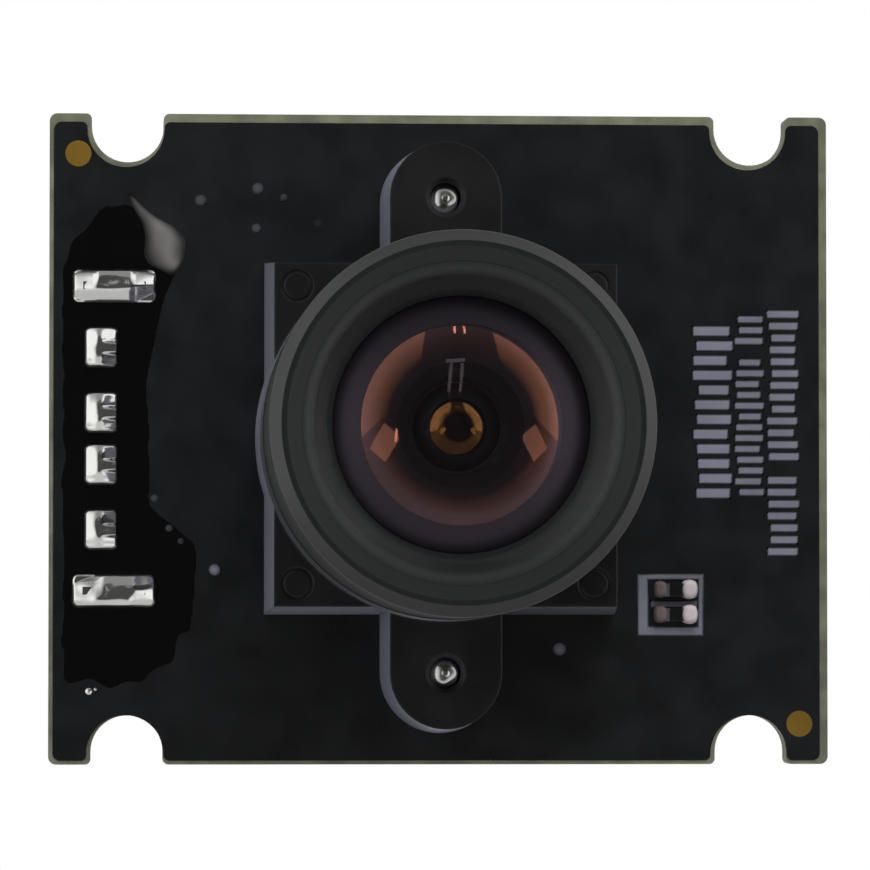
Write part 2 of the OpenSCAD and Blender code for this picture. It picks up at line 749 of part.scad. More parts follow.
// The folded steel shell with its seam, four latch windows and two soldered tabs.
module plug_shell() {
    tab_len = board_t + pin_proud + mask_t;
    color("#b9bcbf") upright() translate([plug_x, 0, 0]) {
        difference() {
            translate([0, 0, -plug_len]) linear_extrude(plug_len - mask_t) difference() {
                rounded_rect(plug_d, plug_w, plug_corner_r);
                rounded_rect(plug_in_d, plug_in_w, plug_corner_r - plug_sheet / 2);
            }
            for (s = [-1, 1]) translate([0, s * plug_w / 4, plug_window_edge - plug_len])
                cube([2 * plug_d, plug_window, plug_window], center = true);
            translate([plug_d / 2 - plug_sheet / 2, 0, -plug_len / 2])
                cube([2 * plug_sheet, seam_w, plug_len + 2], center = true);
        }
        for (s = [-1, 1]) translate([-tab_w / 2, s * tab_y - plug_sheet / 2, -mask_t - eps])
            cube([tab_w, plug_sheet, tab_len + eps]);
    }
}

// The moulded insulator: a block behind the board and the tongue that carries the contacts.
module plug_insulator() {
    block_len = plug_len - plug_mouth - mask_t;
    color("#e6e4dd") upright() translate([plug_x, 0, 0]) difference() {
        union() {
            translate([0, 0, -mask_t - block_len]) linear_extrude(block_len) insulator_section();
            translate([0, 0, -plug_len + tongue_drop])
                linear_extrude(plug_mouth - tongue_drop + eps) intersection() {
                    insulator_section();
                    translate([-plug_in_d / 2, -plug_in_w / 2]) square([tongue_t, plug_in_w]);
                }
        }
        for (y = contact_ys) translate([0, y, 0]) contact_groove();
    }
}

module insulator_section() {
    rounded_rect(plug_in_d - 2 * insulator_clear, plug_in_w - 2 * insulator_clear,
        plug_corner_r - plug_sheet / 2 - insulator_clear);
}

// The room that one contact takes up in the insulator.
module contact_groove() {
    translate([tongue_face_x - plug_x - contact_t, -contact_w / 2, -plug_len + contact_drop])
        cube([contact_t + 0.1, contact_w, plug_mouth - contact_drop + eps]);
    translate([pin_x - plug_x - contact_t / 2, -contact_w / 2, -plug_len + plug_mouth - eps])
        cube([tongue_face_x - pin_x + contact_t / 2, contact_w, contact_jog + 2 * eps]);
    translate([pin_x - plug_x - contact_t / 2, -pin_w / 2, -plug_len + plug_mouth])
        cube([contact_t, pin_w, plug_len]);
}

// The four contacts: a strip along the tongue, a jog and a pin through the board.
module plug_contacts() {
    jog_z = -plug_len + plug_mouth;
    strip_x = tongue_face_x - contact_t;
    color("#d9b45a") upright() for (y = contact_ys) translate([0, y, 0]) {
        translate([strip_x, -contact_w / 2, -plug_len + contact_drop])
            cube([contact_t, contact_w, plug_mouth - contact_drop + contact_jog]);
        translate([pin_x - contact_t / 2, -contact_w / 2, jog_z])
            cube([tongue_face_x - pin_x + contact_t / 2, contact_w, contact_jog]);
        translate([pin_x - contact_t / 2, -pin_w / 2, jog_z])
            cube([contact_t, pin_w, front_z + pin_proud - jog_z]);
    }
}

// Solder --------------------------------------------------------------------------------------

// A hollow-sided mound that climbs a pin or tab, with a ridge of the given length.
module solder_mound(l) {
    module side() {
        difference() {
            square([solder_foot, solder_climb]);
            translate([solder_foot, solder_climb]) circle(solder_climb, $fn = 48);
        }
    }
    for (s = [-1, 1]) translate([s * l / 2, 0, 0]) rotate_extrude($fn = 48) side();
    for (turn = [0, 180]) rotate(turn) rotate([90, 0, 90]) linear_extrude(l, center = true) side();
}

module pin_solder() {
    color("#d5d6d6") upright() for (y = contact_ys) translate([pin_x, y, front_z]) difference() {
        union() {
            linear_extrude(solder_t) rounded_rect(pin_pad_w, pin_pad_h, pad_corner_r);
            solder_mound(pin_mound_l);
        }
        translate([-contact_t / 2, -pin_w / 2, -1]) cube([contact_t, pin_w, 3]);
    }
}

module tab_solder() {
    color("#d5d6d6") upright() for (s = [-1, 1]) translate([plug_x, s * tab_y, front_z])
        difference() {
            union() {
                linear_extrude(solder_t) rounded_rect(tab_pad_w, tab_pad_h, pad_corner_r);
                solder_mound(tab_w - tab_mound_end);
            }
            translate([-tab_w / 2, -plug_sheet / 2, -1]) cube([tab_w, plug_sheet, 3]);
        }
}

// The brushed-on varnish: a body along the joints with a lobe at each end.
module joint_varnish() {
    color("#0b0b0c") upright() translate([0, 0, skin_z]) linear_extrude(varnish_t) difference() {
        offset(0.35, $fn = 24) offset(-0.7, $fn = 24) offset(0.35, $fn = 24)
            translate([plug_x, 0]) polygon(varnish_outline);
        pad_windows(varnish_gap);
    }
}

// Small chips ---------------------------------------------------------------------------------

// Places children at each [x, y, turn], flat on the front or the rear mask.
module chip_places(places, rear) {
    for (p = places) translate([p[0], p[1], rear ? -mask_t : skin_z])
        rotate([rear ? 180 : 0, 0, p[2]]) children();
}

module chip_body() {
    translate([-chip_l / 2 + chip_end, -chip_w / 2, 0])
        cube([chip_l - 2 * chip_end, chip_w, chip_h]);
}

module chip_ends() {
    for (s = [-1, 1]) translate([s * (chip_l - chip_end) / 2, 0, chip_h / 2])
        cube([chip_end, chip_w, chip_h], center = true);
}

front_places = [for (s = [-1, 1]) [front_chip_x, front_chip_y + s * front_chip_pitch / 2, 0]];

module front_resistors() {
    color("#151517") upright() chip_places(front_places, false) chip_body();
}

module front_resistor_ends() {
    color("#cfd0ce") upright() chip_places(front_places, false) chip_ends();
}

// A moulded chip body with bevelled edges, h tall above its gap.
module moulded_body(l, w, h) {
    bevel = chip_bevel;
    translate([0, 0, chip_standoff]) intersection() {
        rotate([90, 0, 0]) linear_extrude(w, center = true)
            polygon([[-l / 2 + bevel, 0], [l / 2 - bevel, 0], [l / 2, h / 2], [l / 2 - bevel, h],
                [-l / 2 + bevel, h], [-l / 2, h / 2]]);
        rotate([90, 0, 90]) linear_extrude(l, center = true)
            polygon([[-w / 2 + bevel, 0], [w / 2 - bevel, 0], [w / 2, h / 2], [w / 2 - bevel, h],
                [-w / 2 + bevel, h], [-w / 2, h / 2]]);
    }
}

// One gull-wing lead that starts at y = 0, at the body's wall, and ends flat on the board.
module gull_lead(w, reach, t, body_h = chip_body_t) {
    z = chip_standoff + body_h / 2;
    rotate([90, 0, 90]) linear_extrude(w, center = true)
        polygon([[0, z - t / 2], [0, z + t / 2], [reach * 0.3 + t, z + t / 2], [reach * 0.45 + t, t],
            [reach, t], [reach, 0], [reach * 0.45, 0], [reach * 0.3, z - t / 2]]);
}

module rear_at(x, y, turn) {
    translate([x, y, -mask_t]) rotate([180, 0, turn]) children();
}

module controller_chip() {
    color("#1e1f21") upright() rear_at(controller_x, 0, 0)
        moulded_body(controller_w, controller_w, chip_body_t);
}

module controller_leads() {
    n = controller_leads_per_side;
    color("#c6c8c8") upright() rear_at(controller_x, 0, 0) for (side = [0:3]) rotate(90 * side)
        for (i = [0:n - 1]) translate([(i - (n - 1) / 2) * controller_pitch, controller_w / 2, 0])
            gull_lead(controller_lead_w, controller_lead_l, controller_lead_t);
}

module memory_chip() {
    color("#1e1f21") upright() rear_at(memory_x, 0, 90) moulded_body(memory_l, memory_w, chip_body_t);
}

module memory_leads() {
    color("#c6c8c8") upright() rear_at(memory_x, 0, 90) for (side = [0, 180]) rotate(side)
        for (i = [0:3]) translate([(i - 1.5) * memory_pitch, memory_w / 2, 0])
            gull_lead(memory_lead_w, memory_lead_l, memory_lead_t);
}

module crystal_can() {
    foot_h = crystal_h * crystal_foot;
    color("#b7b9b8") upright() rear_at(memory_x, crystal_y, 0) {
        linear_extrude(foot_h) rounded_rect(crystal_l, crystal_w, crystal_step);
        translate([0, 0, foot_h]) linear_extrude(crystal_h - foot_h)
            rounded_rect(crystal_l - 2 * crystal_step, crystal_w - 2 * crystal_step, crystal_step);
    }
}

module regulator(i) {
    color("#1e1f21") upright() rear_at(regulator_places[i][0], regulator_places[i][1], 0)
        moulded_body(regulator_l, regulator_w, regulator_h);
}

module core_regulator() {
    regulator(0);
}

module sensor_regulator() {
    regulator(1);
}

module regulator_leads() {
    color("#c6c8c8") upright() for (p = regulator_places) rear_at(p[0], p[1], 0) {
        for (i = [-1:1]) regulator_lead(i * regulator_pitch);
        for (i = [-1, 1]) rotate(180) regulator_lead(i * regulator_pitch);
    }
}

module regulator_lead(x) {
    translate([x, regulator_w / 2, 0])
        gull_lead(regulator_lead_w, regulator_lead_l, regulator_lead_t, regulator_h);
}

module rear_capacitors() {
    color("#a58a66") upright() chip_places(rear_caps, true) chip_body();
}

module rear_capacitor_ends() {
    color("#cfd0ce") upright() chip_places(rear_caps, true) chip_ends();
}

module rear_resistors() {
    color("#151517") upright() chip_places(rear_ress, true) chip_body();
}

module rear_resistor_ends() {
    color("#cfd0ce") upright() chip_places(rear_ress, true) chip_ends();
}

circuit_board();
front_solder_mask();
rear_solder_mask();
fiducials();
lens_holder();
holder_screw_upper();
holder_screw_lower();
lens_barrel();
front_retaining_ring();
front_glass();
front_spacer();
second_glass();
aperture_stop();
third_glass();
rear_spacer();
rear_glass();
infrared_filter();
image_sensor();
sensor_cover_glass();
sensor_solder_balls();
plug_shell();
plug_insulator();
plug_contacts();
pin_solder();
tab_solder();
joint_varnish();
front_resistors();
front_resistor_ends();
controller_chip();
controller_leads();
memory_chip();
memory_leads();
crystal_can();
core_regulator();
sensor_regulator();
regulator_leads();
rear_capacitors();
rear_capacitor_ends();
rear_resistors();
rear_resistor_ends();
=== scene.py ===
"""Finish and studio for a small board camera: board, moulded holder, turned lens, glass, solder, plug."""
import math

import bpy
import numpy as np
from bpy.props import FloatProperty, FloatVectorProperty, PointerProperty
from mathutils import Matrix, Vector


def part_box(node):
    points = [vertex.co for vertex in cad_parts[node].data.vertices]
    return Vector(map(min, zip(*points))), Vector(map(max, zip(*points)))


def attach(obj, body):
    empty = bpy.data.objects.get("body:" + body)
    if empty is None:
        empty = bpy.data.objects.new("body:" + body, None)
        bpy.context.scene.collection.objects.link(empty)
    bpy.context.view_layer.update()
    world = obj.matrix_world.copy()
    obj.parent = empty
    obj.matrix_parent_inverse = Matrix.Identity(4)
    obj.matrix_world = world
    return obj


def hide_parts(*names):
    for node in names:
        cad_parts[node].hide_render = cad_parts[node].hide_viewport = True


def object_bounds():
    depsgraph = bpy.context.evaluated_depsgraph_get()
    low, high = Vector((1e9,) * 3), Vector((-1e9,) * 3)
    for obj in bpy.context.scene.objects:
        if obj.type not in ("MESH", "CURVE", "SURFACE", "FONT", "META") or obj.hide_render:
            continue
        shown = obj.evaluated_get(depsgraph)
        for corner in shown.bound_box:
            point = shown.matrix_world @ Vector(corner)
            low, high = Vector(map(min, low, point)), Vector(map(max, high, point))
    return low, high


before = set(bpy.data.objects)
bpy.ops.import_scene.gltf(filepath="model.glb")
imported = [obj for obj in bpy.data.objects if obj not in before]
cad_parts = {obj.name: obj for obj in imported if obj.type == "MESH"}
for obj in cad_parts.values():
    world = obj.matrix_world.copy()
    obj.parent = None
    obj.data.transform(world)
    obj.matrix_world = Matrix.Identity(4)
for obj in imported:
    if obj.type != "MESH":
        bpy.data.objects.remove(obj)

bl_info = {
    "name": "Board camera",
    "version": (1, 0, 0),
    "blender": (4, 5, 0),
    "location": "3D View > Sidebar > Board camera",
    "description": "Finishes the pieces of a board camera and lights them in a pale studio",
    "category": "Object",
}

MM = 0.001
TURN = 2 * math.pi
CAD_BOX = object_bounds()


# Sizes read from the frame ---------------------------------------------------------------------

def corners(node):
    """Lowest and highest corner of a node in millimetres of the board's own frame: x right, y up,
    z out of the front."""
    low, high = (np.array(c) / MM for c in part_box(node))
    return (np.array([low[0], low[2], -high[1]]), np.array([high[0], high[2], -low[1]]))


def to_row(points):
    """Board-frame millimetres to metres of the shared frame: (x, y, z) becomes (x, -z, y)."""
    points = np.asarray(points, float)
    return np.stack([points[..., 0], -points[..., 2], points[..., 1]], -1) * MM


MASK_LOW, MASK_HIGH = corners("front_solder_mask")
BARREL_LOW, BARREL_HIGH = corners("lens_barrel")
SKIN_Z = MASK_HIGH[2]
PAD_Z = corners("circuit_board")[1][2]
REAR_Z = corners("rear_solder_mask")[0][2]
INK_DEPTH = 0.008  # height of the print over the mask
MOUTH_R = 4.69  # opening of the ring over the front glass


# Properties ------------------------------------------------------------------------------------

def colour(name, description, value):
    """A colour that a user may change."""
    return FloatVectorProperty(name=name, description=description, default=value, subtype="COLOR",
                               size=3, min=0, max=1)


def amount(name, description, value, low=0.0, high=1.0):
    """A plain number that a user may change."""
    return FloatProperty(name=name, description=description, default=value, min=low, max=high,
                         subtype="FACTOR" if high == 1.0 else "NONE")


def length(name, description, millimetres):
    """A length that a user may change; its default is given in millimetres."""
    return FloatProperty(name=name, description=description, default=millimetres * MM, min=0,
                         unit="LENGTH", precision=5)


class BoardLook(bpy.types.PropertyGroup):
    """Colours of the board, its mask, its print and its bare metal."""
    laminate: colour("Laminate", "Bare sawn edge of the board", (0.172, 0.178, 0.122))
    mask: colour("Mask", "Black solder mask", (0.0100, 0.0106, 0.0116))
    mask_roughness: amount("Mask roughness", "How satin the mask is", 0.30)
    copper: colour("Copper", "Bare copper discs", (0.225, 0.13, 0.014))
    ink: colour("Print", "White legend ink, thinly printed", (0.27, 0.275, 0.345))
    dash_pitch: length("Dash pitch", "Distance between the legend's dashes", 0.50)


class JointLook(bpy.types.PropertyGroup):
    """Solder joints, the varnish brushed round them and a highlight painted on the varnish."""
    solder: colour("Solder", "Bright solder", (0.86, 0.86, 0.84))
    varnish: colour("Varnish", "Glossy black varnish", (0.0012, 0.0013, 0.0015))
    pin_width: length("Pin pad width", "Width of each pin's pad", 1.3)
    pin_height: length("Pin pad height", "Height of each pin's pad", 1.6)
    tab_width: length("Tab pad width", "Width of each tab's pad", 3.2)
    tab_height: length("Tab pad height", "Height of each tab's pad", 1.3)
    climb: length("Climb", "Height of the solder at a pin", 0.60)
    varnish_depth: length("Varnish depth", "Greatest thickness of the varnish", 0.07)
    # A pale colour painted on the varnish beside the upper joint: a painted highlight.
    smear_highlight: colour("Smear highlight", "Pale highlight painted on the varnish beside the upper joint", (0.24, 0.235, 0.225))


class HolderLook(bpy.types.PropertyGroup):
    """Colours of the moulded holder and its screws."""
    plastic: colour("Plastic", "Black moulded plastic", (0.0088, 0.0091, 0.0096))
    # A paler tone painted on the base's upright walls: a painted sheen in place of the grazing light on
    # them.
    painted_wall_sheen: colour("Painted wall sheen", "Tone of the base's upright walls", (0.074, 0.077, 0.098))
    roughness: amount("Roughness", "How dull the moulding is", 0.36)
    screw: colour("Screw", "Bright plated steel", (0.80, 0.79, 0.76))
    screw_pitch: length("Screw pitch", "Pitch of the screws' thread", 0.5)


class LensLook(bpy.types.PropertyGroup):
    """Sizes of the turned pieces and the colours of the coatings."""
    anodising: colour("Anodising", "Black anodised aluminium", (0.0090, 0.0097, 0.0100))
    roughness: amount("Roughness", "How dull the turned surface is", 0.42)
    bevel: length("Rim bevel", "Width of the bevel round the rim", 0.42)
    flat: length("Rim flat", "Width of the rim's flat crest", 0.20)
    head: length("Head", "Length of the head from its shoulder to the rim", 7.5)
    thread: length("Thread radius", "Mean radius of the lens thread", 5.86)
    pitch: length("Thread pitch", "Pitch of the lens thread", 0.5)
    bore: length("Bore", "Radius of the bore for the inner glass", 3.9)
    front_curve: length("Front curve", "Radius of the front glass's outer face", 12.4)
    hollow_curve: length("Hollow curve", "Radius of the front glass's hollow", 10.5)
    hollow: length("Hollow", "Radius of the hollow's edge", 3.48)
    clear: length("Clear front", "Radius of the front face's clear part", 3.66)
    clear_hollow: length("Clear hollow", "Radius of the hollow's clear part", 2.2)
    middle: length("Middle thickness", "Thickness of the front glass at its middle", 1.477)
    bulge_curve: length("Bulge curve", "Radius of the second glass's bulge", 2.05)
    bulge: length("Bulge", "Radius of the bulge's foot", 1.56)
    purple: colour("Purple coating", "Tint of the front face's reflection", (0.86, 0.72, 0.90))
    orange: colour("Orange coating", "Tint of the hollow's reflection", (1.0, 0.36, 0.20))
    gold: colour("Gold coating", "Tint of the inner glass's reflection", (1.0, 0.42, 0.11))


class PlugLook(bpy.types.PropertyGroup):
    """Colours of the plug behind the board."""
    shell: colour("Shell", "Nickel-plated sheet steel", (0.62, 0.62, 0.61))
    insulator: colour("Insulator", "White moulded plastic", (0.72, 0.71, 0.66))
    contact: colour("Contacts", "Gold flash", (0.80, 0.56, 0.22))


class ChipLook(bpy.types.PropertyGroup):
    """Colours of the small parts on the board."""
    moulding: colour("Moulding", "Black moulding compound", (0.016, 0.016, 0.017))
    tin: colour("Tin", "Tinned leads and ends", (0.66, 0.66, 0.64))
    ceramic: colour("Ceramic", "Fired capacitor body", (0.30, 0.19, 0.10))


class StageLook(bpy.types.PropertyGroup):
    """Camera, floor and lamps."""
    distance: length("Distance", "From the camera to the board's front face", 221.4)
    side: length("Side", "How far the camera stands to the left", 13.6)
    drop: length("Drop", "How far the camera stands below the lens's axis", 8.95)
    focal: FloatProperty(name="Focal length", description="Camera lens", default=238.65, min=20,
                         subtype="DISTANCE_CAMERA")
    floor_drop: length("Floor drop", "How far the floor lies below the board", 30)
    reach: length("Reach", "From the lens to the plane of the side panels", 300)
    panel: amount("Panel", "Brightness of the side panels", 2.5, 0.0, 20.0)
    twin: amount("Twin lamp", "Brightness of the small twin lamp", 12.0, 0.0, 40.0)
    top: amount("Top lamp", "Power of the soft lamp above, in watts", 0.12, 0.0, 40.0)
    left: amount("Left lamp", "Power of the soft lamp at the left, in watts", 0.3, 0.0, 40.0)
    even: amount("Even light", "Strength of the even light on dull surfaces", 0.42, 0.0, 4.0)


# Node recipes ----------------------------------------------------------------------------------

class Recipe:
    """A node tree being filled: add() makes a node with its sockets set or linked."""

    def __init__(self, tree):
        self.tree = tree

    def add(self, kind, settings=None, **sockets):
        """A new node with the given settings and sockets."""
        node = self.tree.nodes.new(kind)
        for key, value in (settings or {}).items():
            setattr(node, key, value)
        for key, value in sockets.items():
            self.put(node, key.replace("_", " "), value)
        return node

    def put(self, node, key, value):
        """Sets or links one input, given by its name or its number."""
        socket = node.inputs[int(key[3:]) if key.startswith("in ") else key]
        if isinstance(value, bpy.types.NodeSocket):
            self.tree.links.new(value, socket)
        elif isinstance(value, bpy.types.Node):
            self.tree.links.new(value.outputs[0], socket)
        elif socket.type == "RGBA" and len(value) == 3:
            socket.default_value = (*value, 1)
        else:
            socket.default_value = value

    def maths(self, operation, a, b=0.0):
        """The result of one operation on one or two values."""
        node = self.add("ShaderNodeMath", {"operation": operation})
        self.put(node, "in 0", a)
        self.put(node, "in 1", b)
        return node.outputs[0]

    def total(self, *terms):
        """The sum of several (factor, value) terms."""
        result = 0.0
        for factor, value in terms:
            result = self.maths("ADD", result, self.maths("MULTIPLY", value, factor))
        return result

    def blend(self, factor, a, b):
        """Colour a where factor is 0 and b where it is 1."""
        node = self.add("ShaderNodeMix", {"data_type": "RGBA"}, in_0=factor)
        self.put(node, "in 6", a)
        self.put(node, "in 7", b)
        return node.outputs[2]

    def span(self, value, low, high, to_low=0.0, to_high=1.0):
        """Maps low..high to to_low..to_high, clamped."""
        node = self.add("ShaderNodeMapRange", {"clamp": True}, Value=value)
        for key, number in zip(("in 1", "in 2", "in 3", "in 4"), (low, high, to_low, to_high)):
            self.put(node, key, number)
        return node.outputs[0]

    def bump(self, height, distance, strength, normal=None):
        """A normal tilted by a height, over a given normal where there is one."""
        node = self.add("ShaderNodeBump", None, Height=height, Distance=distance, Strength=strength)
        if normal is not None:
            self.put(node, "Normal", normal)
        return node.outputs[0]

    def place(self):
        """The place on the object, in metres."""
        return self.add("ShaderNodeTexCoord").outputs["Object"]

    def axes(self):
        """The x, y and z of that place."""
        return self.add("ShaderNodeSeparateXYZ", None, Vector=self.place()).outputs

    def attribute(self, name):
        """A number stored at each point of the mesh."""
        return self.add("ShaderNodeAttribute", {"attribute_name": name}).outputs["Fac"]


def group(name, inputs, outputs):
    """A new shader node group with named inputs (name, kind, default) and outputs (name, kind)."""
    tree = bpy.data.node_groups.new(name, "ShaderNodeTree")
    for title, kind, value in inputs:
        socket = tree.interface.new_socket(title, in_out="INPUT", socket_type=kind)
        if value is not None:
            socket.default_value = value
    for title, kind in outputs:
        tree.interface.new_socket(title, in_out="OUTPUT", socket_type=kind)
    recipe = Recipe(tree)
    return tree, recipe, recipe.add("NodeGroupInput"), recipe.add("NodeGroupOutput")


def grain_group():
    """Fine even texture of a moulded or printed face: two noises, as a mask and as a height."""
    tree, recipe, given, result = group(
        "Grain", [("Scale", "NodeSocketFloat", 4000.0)],
        [("Mask", "NodeSocketFloat"), ("Height", "NodeSocketFloat")])
    coarse = recipe.add("ShaderNodeTexNoise", None, Vector=recipe.place(),
                        Scale=recipe.maths("MULTIPLY", given.outputs["Scale"], 0.12), Detail=3.0)
    fine = recipe.add("ShaderNodeTexNoise", None, Vector=recipe.place(),
                      Scale=given.outputs["Scale"], Detail=2.0)
    recipe.put(result, "Mask", coarse.outputs[0])
    recipe.put(result, "Height", fine.outputs[0])
    return tree


def turned_group():
    """Rings left by a lathe about the lens's axis: noise on the radius, slightly broken round it."""
    tree, recipe, given, result = group(
        "Turned", [("Pitch", "NodeSocketFloat", 9000.0)],
        [("Mask", "NodeSocketFloat"), ("Height", "NodeSocketFloat")])
    x, y, z = recipe.axes()
    radius = recipe.maths("SQRT", recipe.maths("ADD", recipe.maths("MULTIPLY", x, x),
                                               recipe.maths("MULTIPLY", z, z)))
    rings = recipe.add("ShaderNodeCombineXYZ", None, X=radius, Y=y)
    bend = recipe.add("ShaderNodeTexNoise", None, Vector=recipe.place(), Scale=180.0, Detail=1.0)
    shifted = recipe.add("ShaderNodeVectorMath", {"operation": "MULTIPLY_ADD"})
    recipe.put(shifted, "in 0", bend.outputs["Color"])
    recipe.put(shifted, "in 1", (0.00003, 0.00003, 0.00003))
    recipe.put(shifted, "in 2", rings)
    fine = recipe.add("ShaderNodeTexNoise", None, Vector=shifted, Scale=given.outputs["Pitch"],
                      Detail=2.0)
    broad = recipe.add("ShaderNodeTexNoise", None, Vector=shifted,
                       Scale=recipe.maths("MULTIPLY", given.outputs["Pitch"], 0.2), Detail=1.0)
    recipe.put(result, "Mask", broad.outputs[0])
    recipe.put(result, "Height", fine.outputs[0])
    return tree


def dust_group():
    """Sparse pale specks: small Voronoi cells, a few of them picked by their random colour."""
    tree, recipe, given, result = group(
        "Dust", [("Scale", "NodeSocketFloat", 900.0), ("Share", "NodeSocketFloat", 0.04)],
        [("Mask", "NodeSocketFloat")])
    cells = recipe.add("ShaderNodeTexVoronoi", None, Vector=recipe.place(),
                       Scale=given.outputs["Scale"])
    near = recipe.span(cells.outputs["Distance"], 0.10, 0.04)
    pick = recipe.maths("LESS_THAN", recipe.add("ShaderNodeSeparateColor", None,
                                                Color=cells.outputs["Color"]).outputs[0],
                        given.outputs["Share"])
    recipe.put(result, "Mask", recipe.maths("MULTIPLY", near, pick))
    return tree


GROUPS = {}


def effect(recipe, name, **sockets):
    """Places a shared effect group, which is built on its first use."""
    makers = {"Grain": grain_group, "Turned": turned_group, "Dust": dust_group}
    if name not in GROUPS:
        GROUPS[name] = makers[name]()
    node = recipe.add("ShaderNodeGroup")
    node.node_tree = GROUPS[name]
    for key, value in sockets.items():
        recipe.put(node, key, value)
    return node


def material(name):
    """A new material with a Principled surface: (material, recipe, principled node)."""
    made = bpy.data.materials.new(name)
    made.use_nodes = True
    recipe = Recipe(made.node_tree)
    made.node_tree.nodes.clear()
    surface = recipe.add("ShaderNodeBsdfPrincipled")
    output = recipe.add("ShaderNodeOutputMaterial")
    recipe.put(output, "Surface", surface.outputs[0])
    return made, recipe, surface


def output_of(made):
    """The output node of a material."""
    return next(node for node in made.node_tree.nodes if node.type == "OUTPUT_MATERIAL")


# Materials -------------------------------------------------------------------------------------

def shades(tone, dark, pale):
    """A darker and a paler shade of one colour."""
    return [dark * c for c in tone], [min(1, pale * c) for c in tone]


def laminate(tone):
    """Sawn glass-fibre board: resin with fine layers through its thickness and pale fibre ends."""
    made, recipe, surface = material("Laminate")
    layers = recipe.add("ShaderNodeMapping", None, Vector=recipe.place(), Scale=(900, 9000, 900))
    noise = recipe.add("ShaderNodeTexNoise", None, Vector=layers, Scale=1.0, Detail=3.0)
    recipe.put(surface, "Base Color", recipe.blend(recipe.span(noise.outputs[0], 0.35, 0.65),
                                                   *shades(tone, 0.72, 1.18)))
    surface.inputs["Roughness"].default_value = 0.62
    recipe.put(surface, "Normal", recipe.bump(noise.outputs[0], 0.00002, 0.6))
    return made


def solder_mask(tone, roughness):
    """Black satin mask: faint mottling, fine orange peel and a few specks of dust."""
    made, recipe, surface = material("Solder mask")
    grain = effect(recipe, "Grain", Scale=5200.0)
    dust = effect(recipe, "Dust", Scale=420.0, Share=0.03)
    mottled = recipe.blend(recipe.span(grain.outputs["Mask"], 0.3, 0.7), *shades(tone, 0.8, 1.2))
    recipe.put(surface, "Base Color", recipe.blend(dust.outputs[0], mottled, (0.03, 0.03, 0.032)))
    recipe.put(surface, "Roughness", recipe.span(grain.outputs["Mask"], 0.3, 0.7,
                                                 roughness - 0.04, roughness + 0.06))
    surface.inputs["Specular IOR Level"].default_value = 0.42
    recipe.put(surface, "Normal", recipe.bump(grain.outputs["Height"], 0.000003, 0.5))
    return made


def bare_copper(tone):
    """Dull copper: mottled, with a coarse scratched grain."""
    made, recipe, surface = material("Bare copper")
    grain = effect(recipe, "Grain", Scale=6000.0)
    recipe.put(surface, "Base Color", recipe.blend(grain.outputs["Mask"],
                                                   *shades(tone, 0.8, 1.2)))
    surface.inputs["Metallic"].default_value = 0.35
    recipe.put(surface, "Roughness", recipe.span(grain.outputs["Mask"], 0.3, 0.7, 0.45, 0.65))
    recipe.put(surface, "Normal", recipe.bump(grain.outputs["Height"], 0.000005, 0.6))
    return made


def printed(tone, under, name="Legend ink"):
    """Thin legend ink: the ink thins towards the rim of a stroke, where the mask shows through."""
    made, recipe, surface = material(name)
    grain = effect(recipe, "Grain", Scale=5000.0)
    cover = recipe.maths("MULTIPLY", recipe.attribute("cover"),
                         recipe.span(grain.outputs["Mask"], 0.2, 0.7, 0.72, 1.0))
    recipe.put(surface, "Base Color", recipe.blend(cover, under, tone))
    surface.inputs["Roughness"].default_value = 0.5
    surface.inputs["Specular IOR Level"].default_value = 0.35
    recipe.put(surface, "Normal", recipe.bump(grain.outputs["Height"], 0.000004, 0.5))
    return made


def moulded(name, tone, roughness, scale=3600.0, depth=0.000006, sheen=0.0, gloss=0.5,
            rounding=0.00008, painted_wall_sheen=None):
    """Moulded plastic: a fine spark-eroded grain, mottled gloss and rounded edges. Its upright
    walls may be painted in a given paler tone where they lie behind a fixed plane near the board:
    a painted sheen, standing in for the grazing light on the base's walls, that leaves the tower
    above them dark."""
    sheen_plane, sheen_edge = -0.0055, 0.0002
    made, recipe, surface = material(name)
    grain = effect(recipe, "Grain", Scale=scale)
    dust = effect(recipe, "Dust", Scale=1100.0, Share=0.02)
    shade = recipe.blend(recipe.span(grain.outputs["Mask"], 0.3, 0.7), *shades(tone, 0.85, 1.18))
    # Painted sheen: upright walls near the board are painted paler, as grazing light shows them, and the
    # tower stays dark.
    if painted_wall_sheen:
        facing = recipe.add("ShaderNodeTexCoord").outputs["Normal"]
        across = recipe.add("ShaderNodeSeparateXYZ", None, Vector=facing).outputs[1]
        wall = recipe.span(recipe.maths("ABSOLUTE", across), 0.5, 0.3)
        low = recipe.span(recipe.axes()[1], sheen_plane, sheen_plane + sheen_edge)
        shade = recipe.blend(recipe.maths("MULTIPLY", wall, low), shade, painted_wall_sheen)
    recipe.put(surface, "Base Color", recipe.blend(
        dust.outputs[0], shade, [min(1, 0.05 + c) for c in tone]))
    recipe.put(surface, "Roughness", recipe.span(grain.outputs["Mask"], 0.3, 0.7,
                                                 roughness - 0.05, roughness + 0.07))
    surface.inputs["Specular IOR Level"].default_value = gloss
    surface.inputs["Sheen Weight"].default_value = sheen
    surface.inputs["Sheen Roughness"].default_value = 0.35
    surface.inputs["Sheen Tint"].default_value = (0.80, 0.82, 1, 1)
    edges = recipe.add("ShaderNodeBevel", {"samples": 4}, Radius=rounding)
    recipe.put(surface, "Normal", recipe.bump(grain.outputs["Height"], depth, 0.7, edges))
    return made


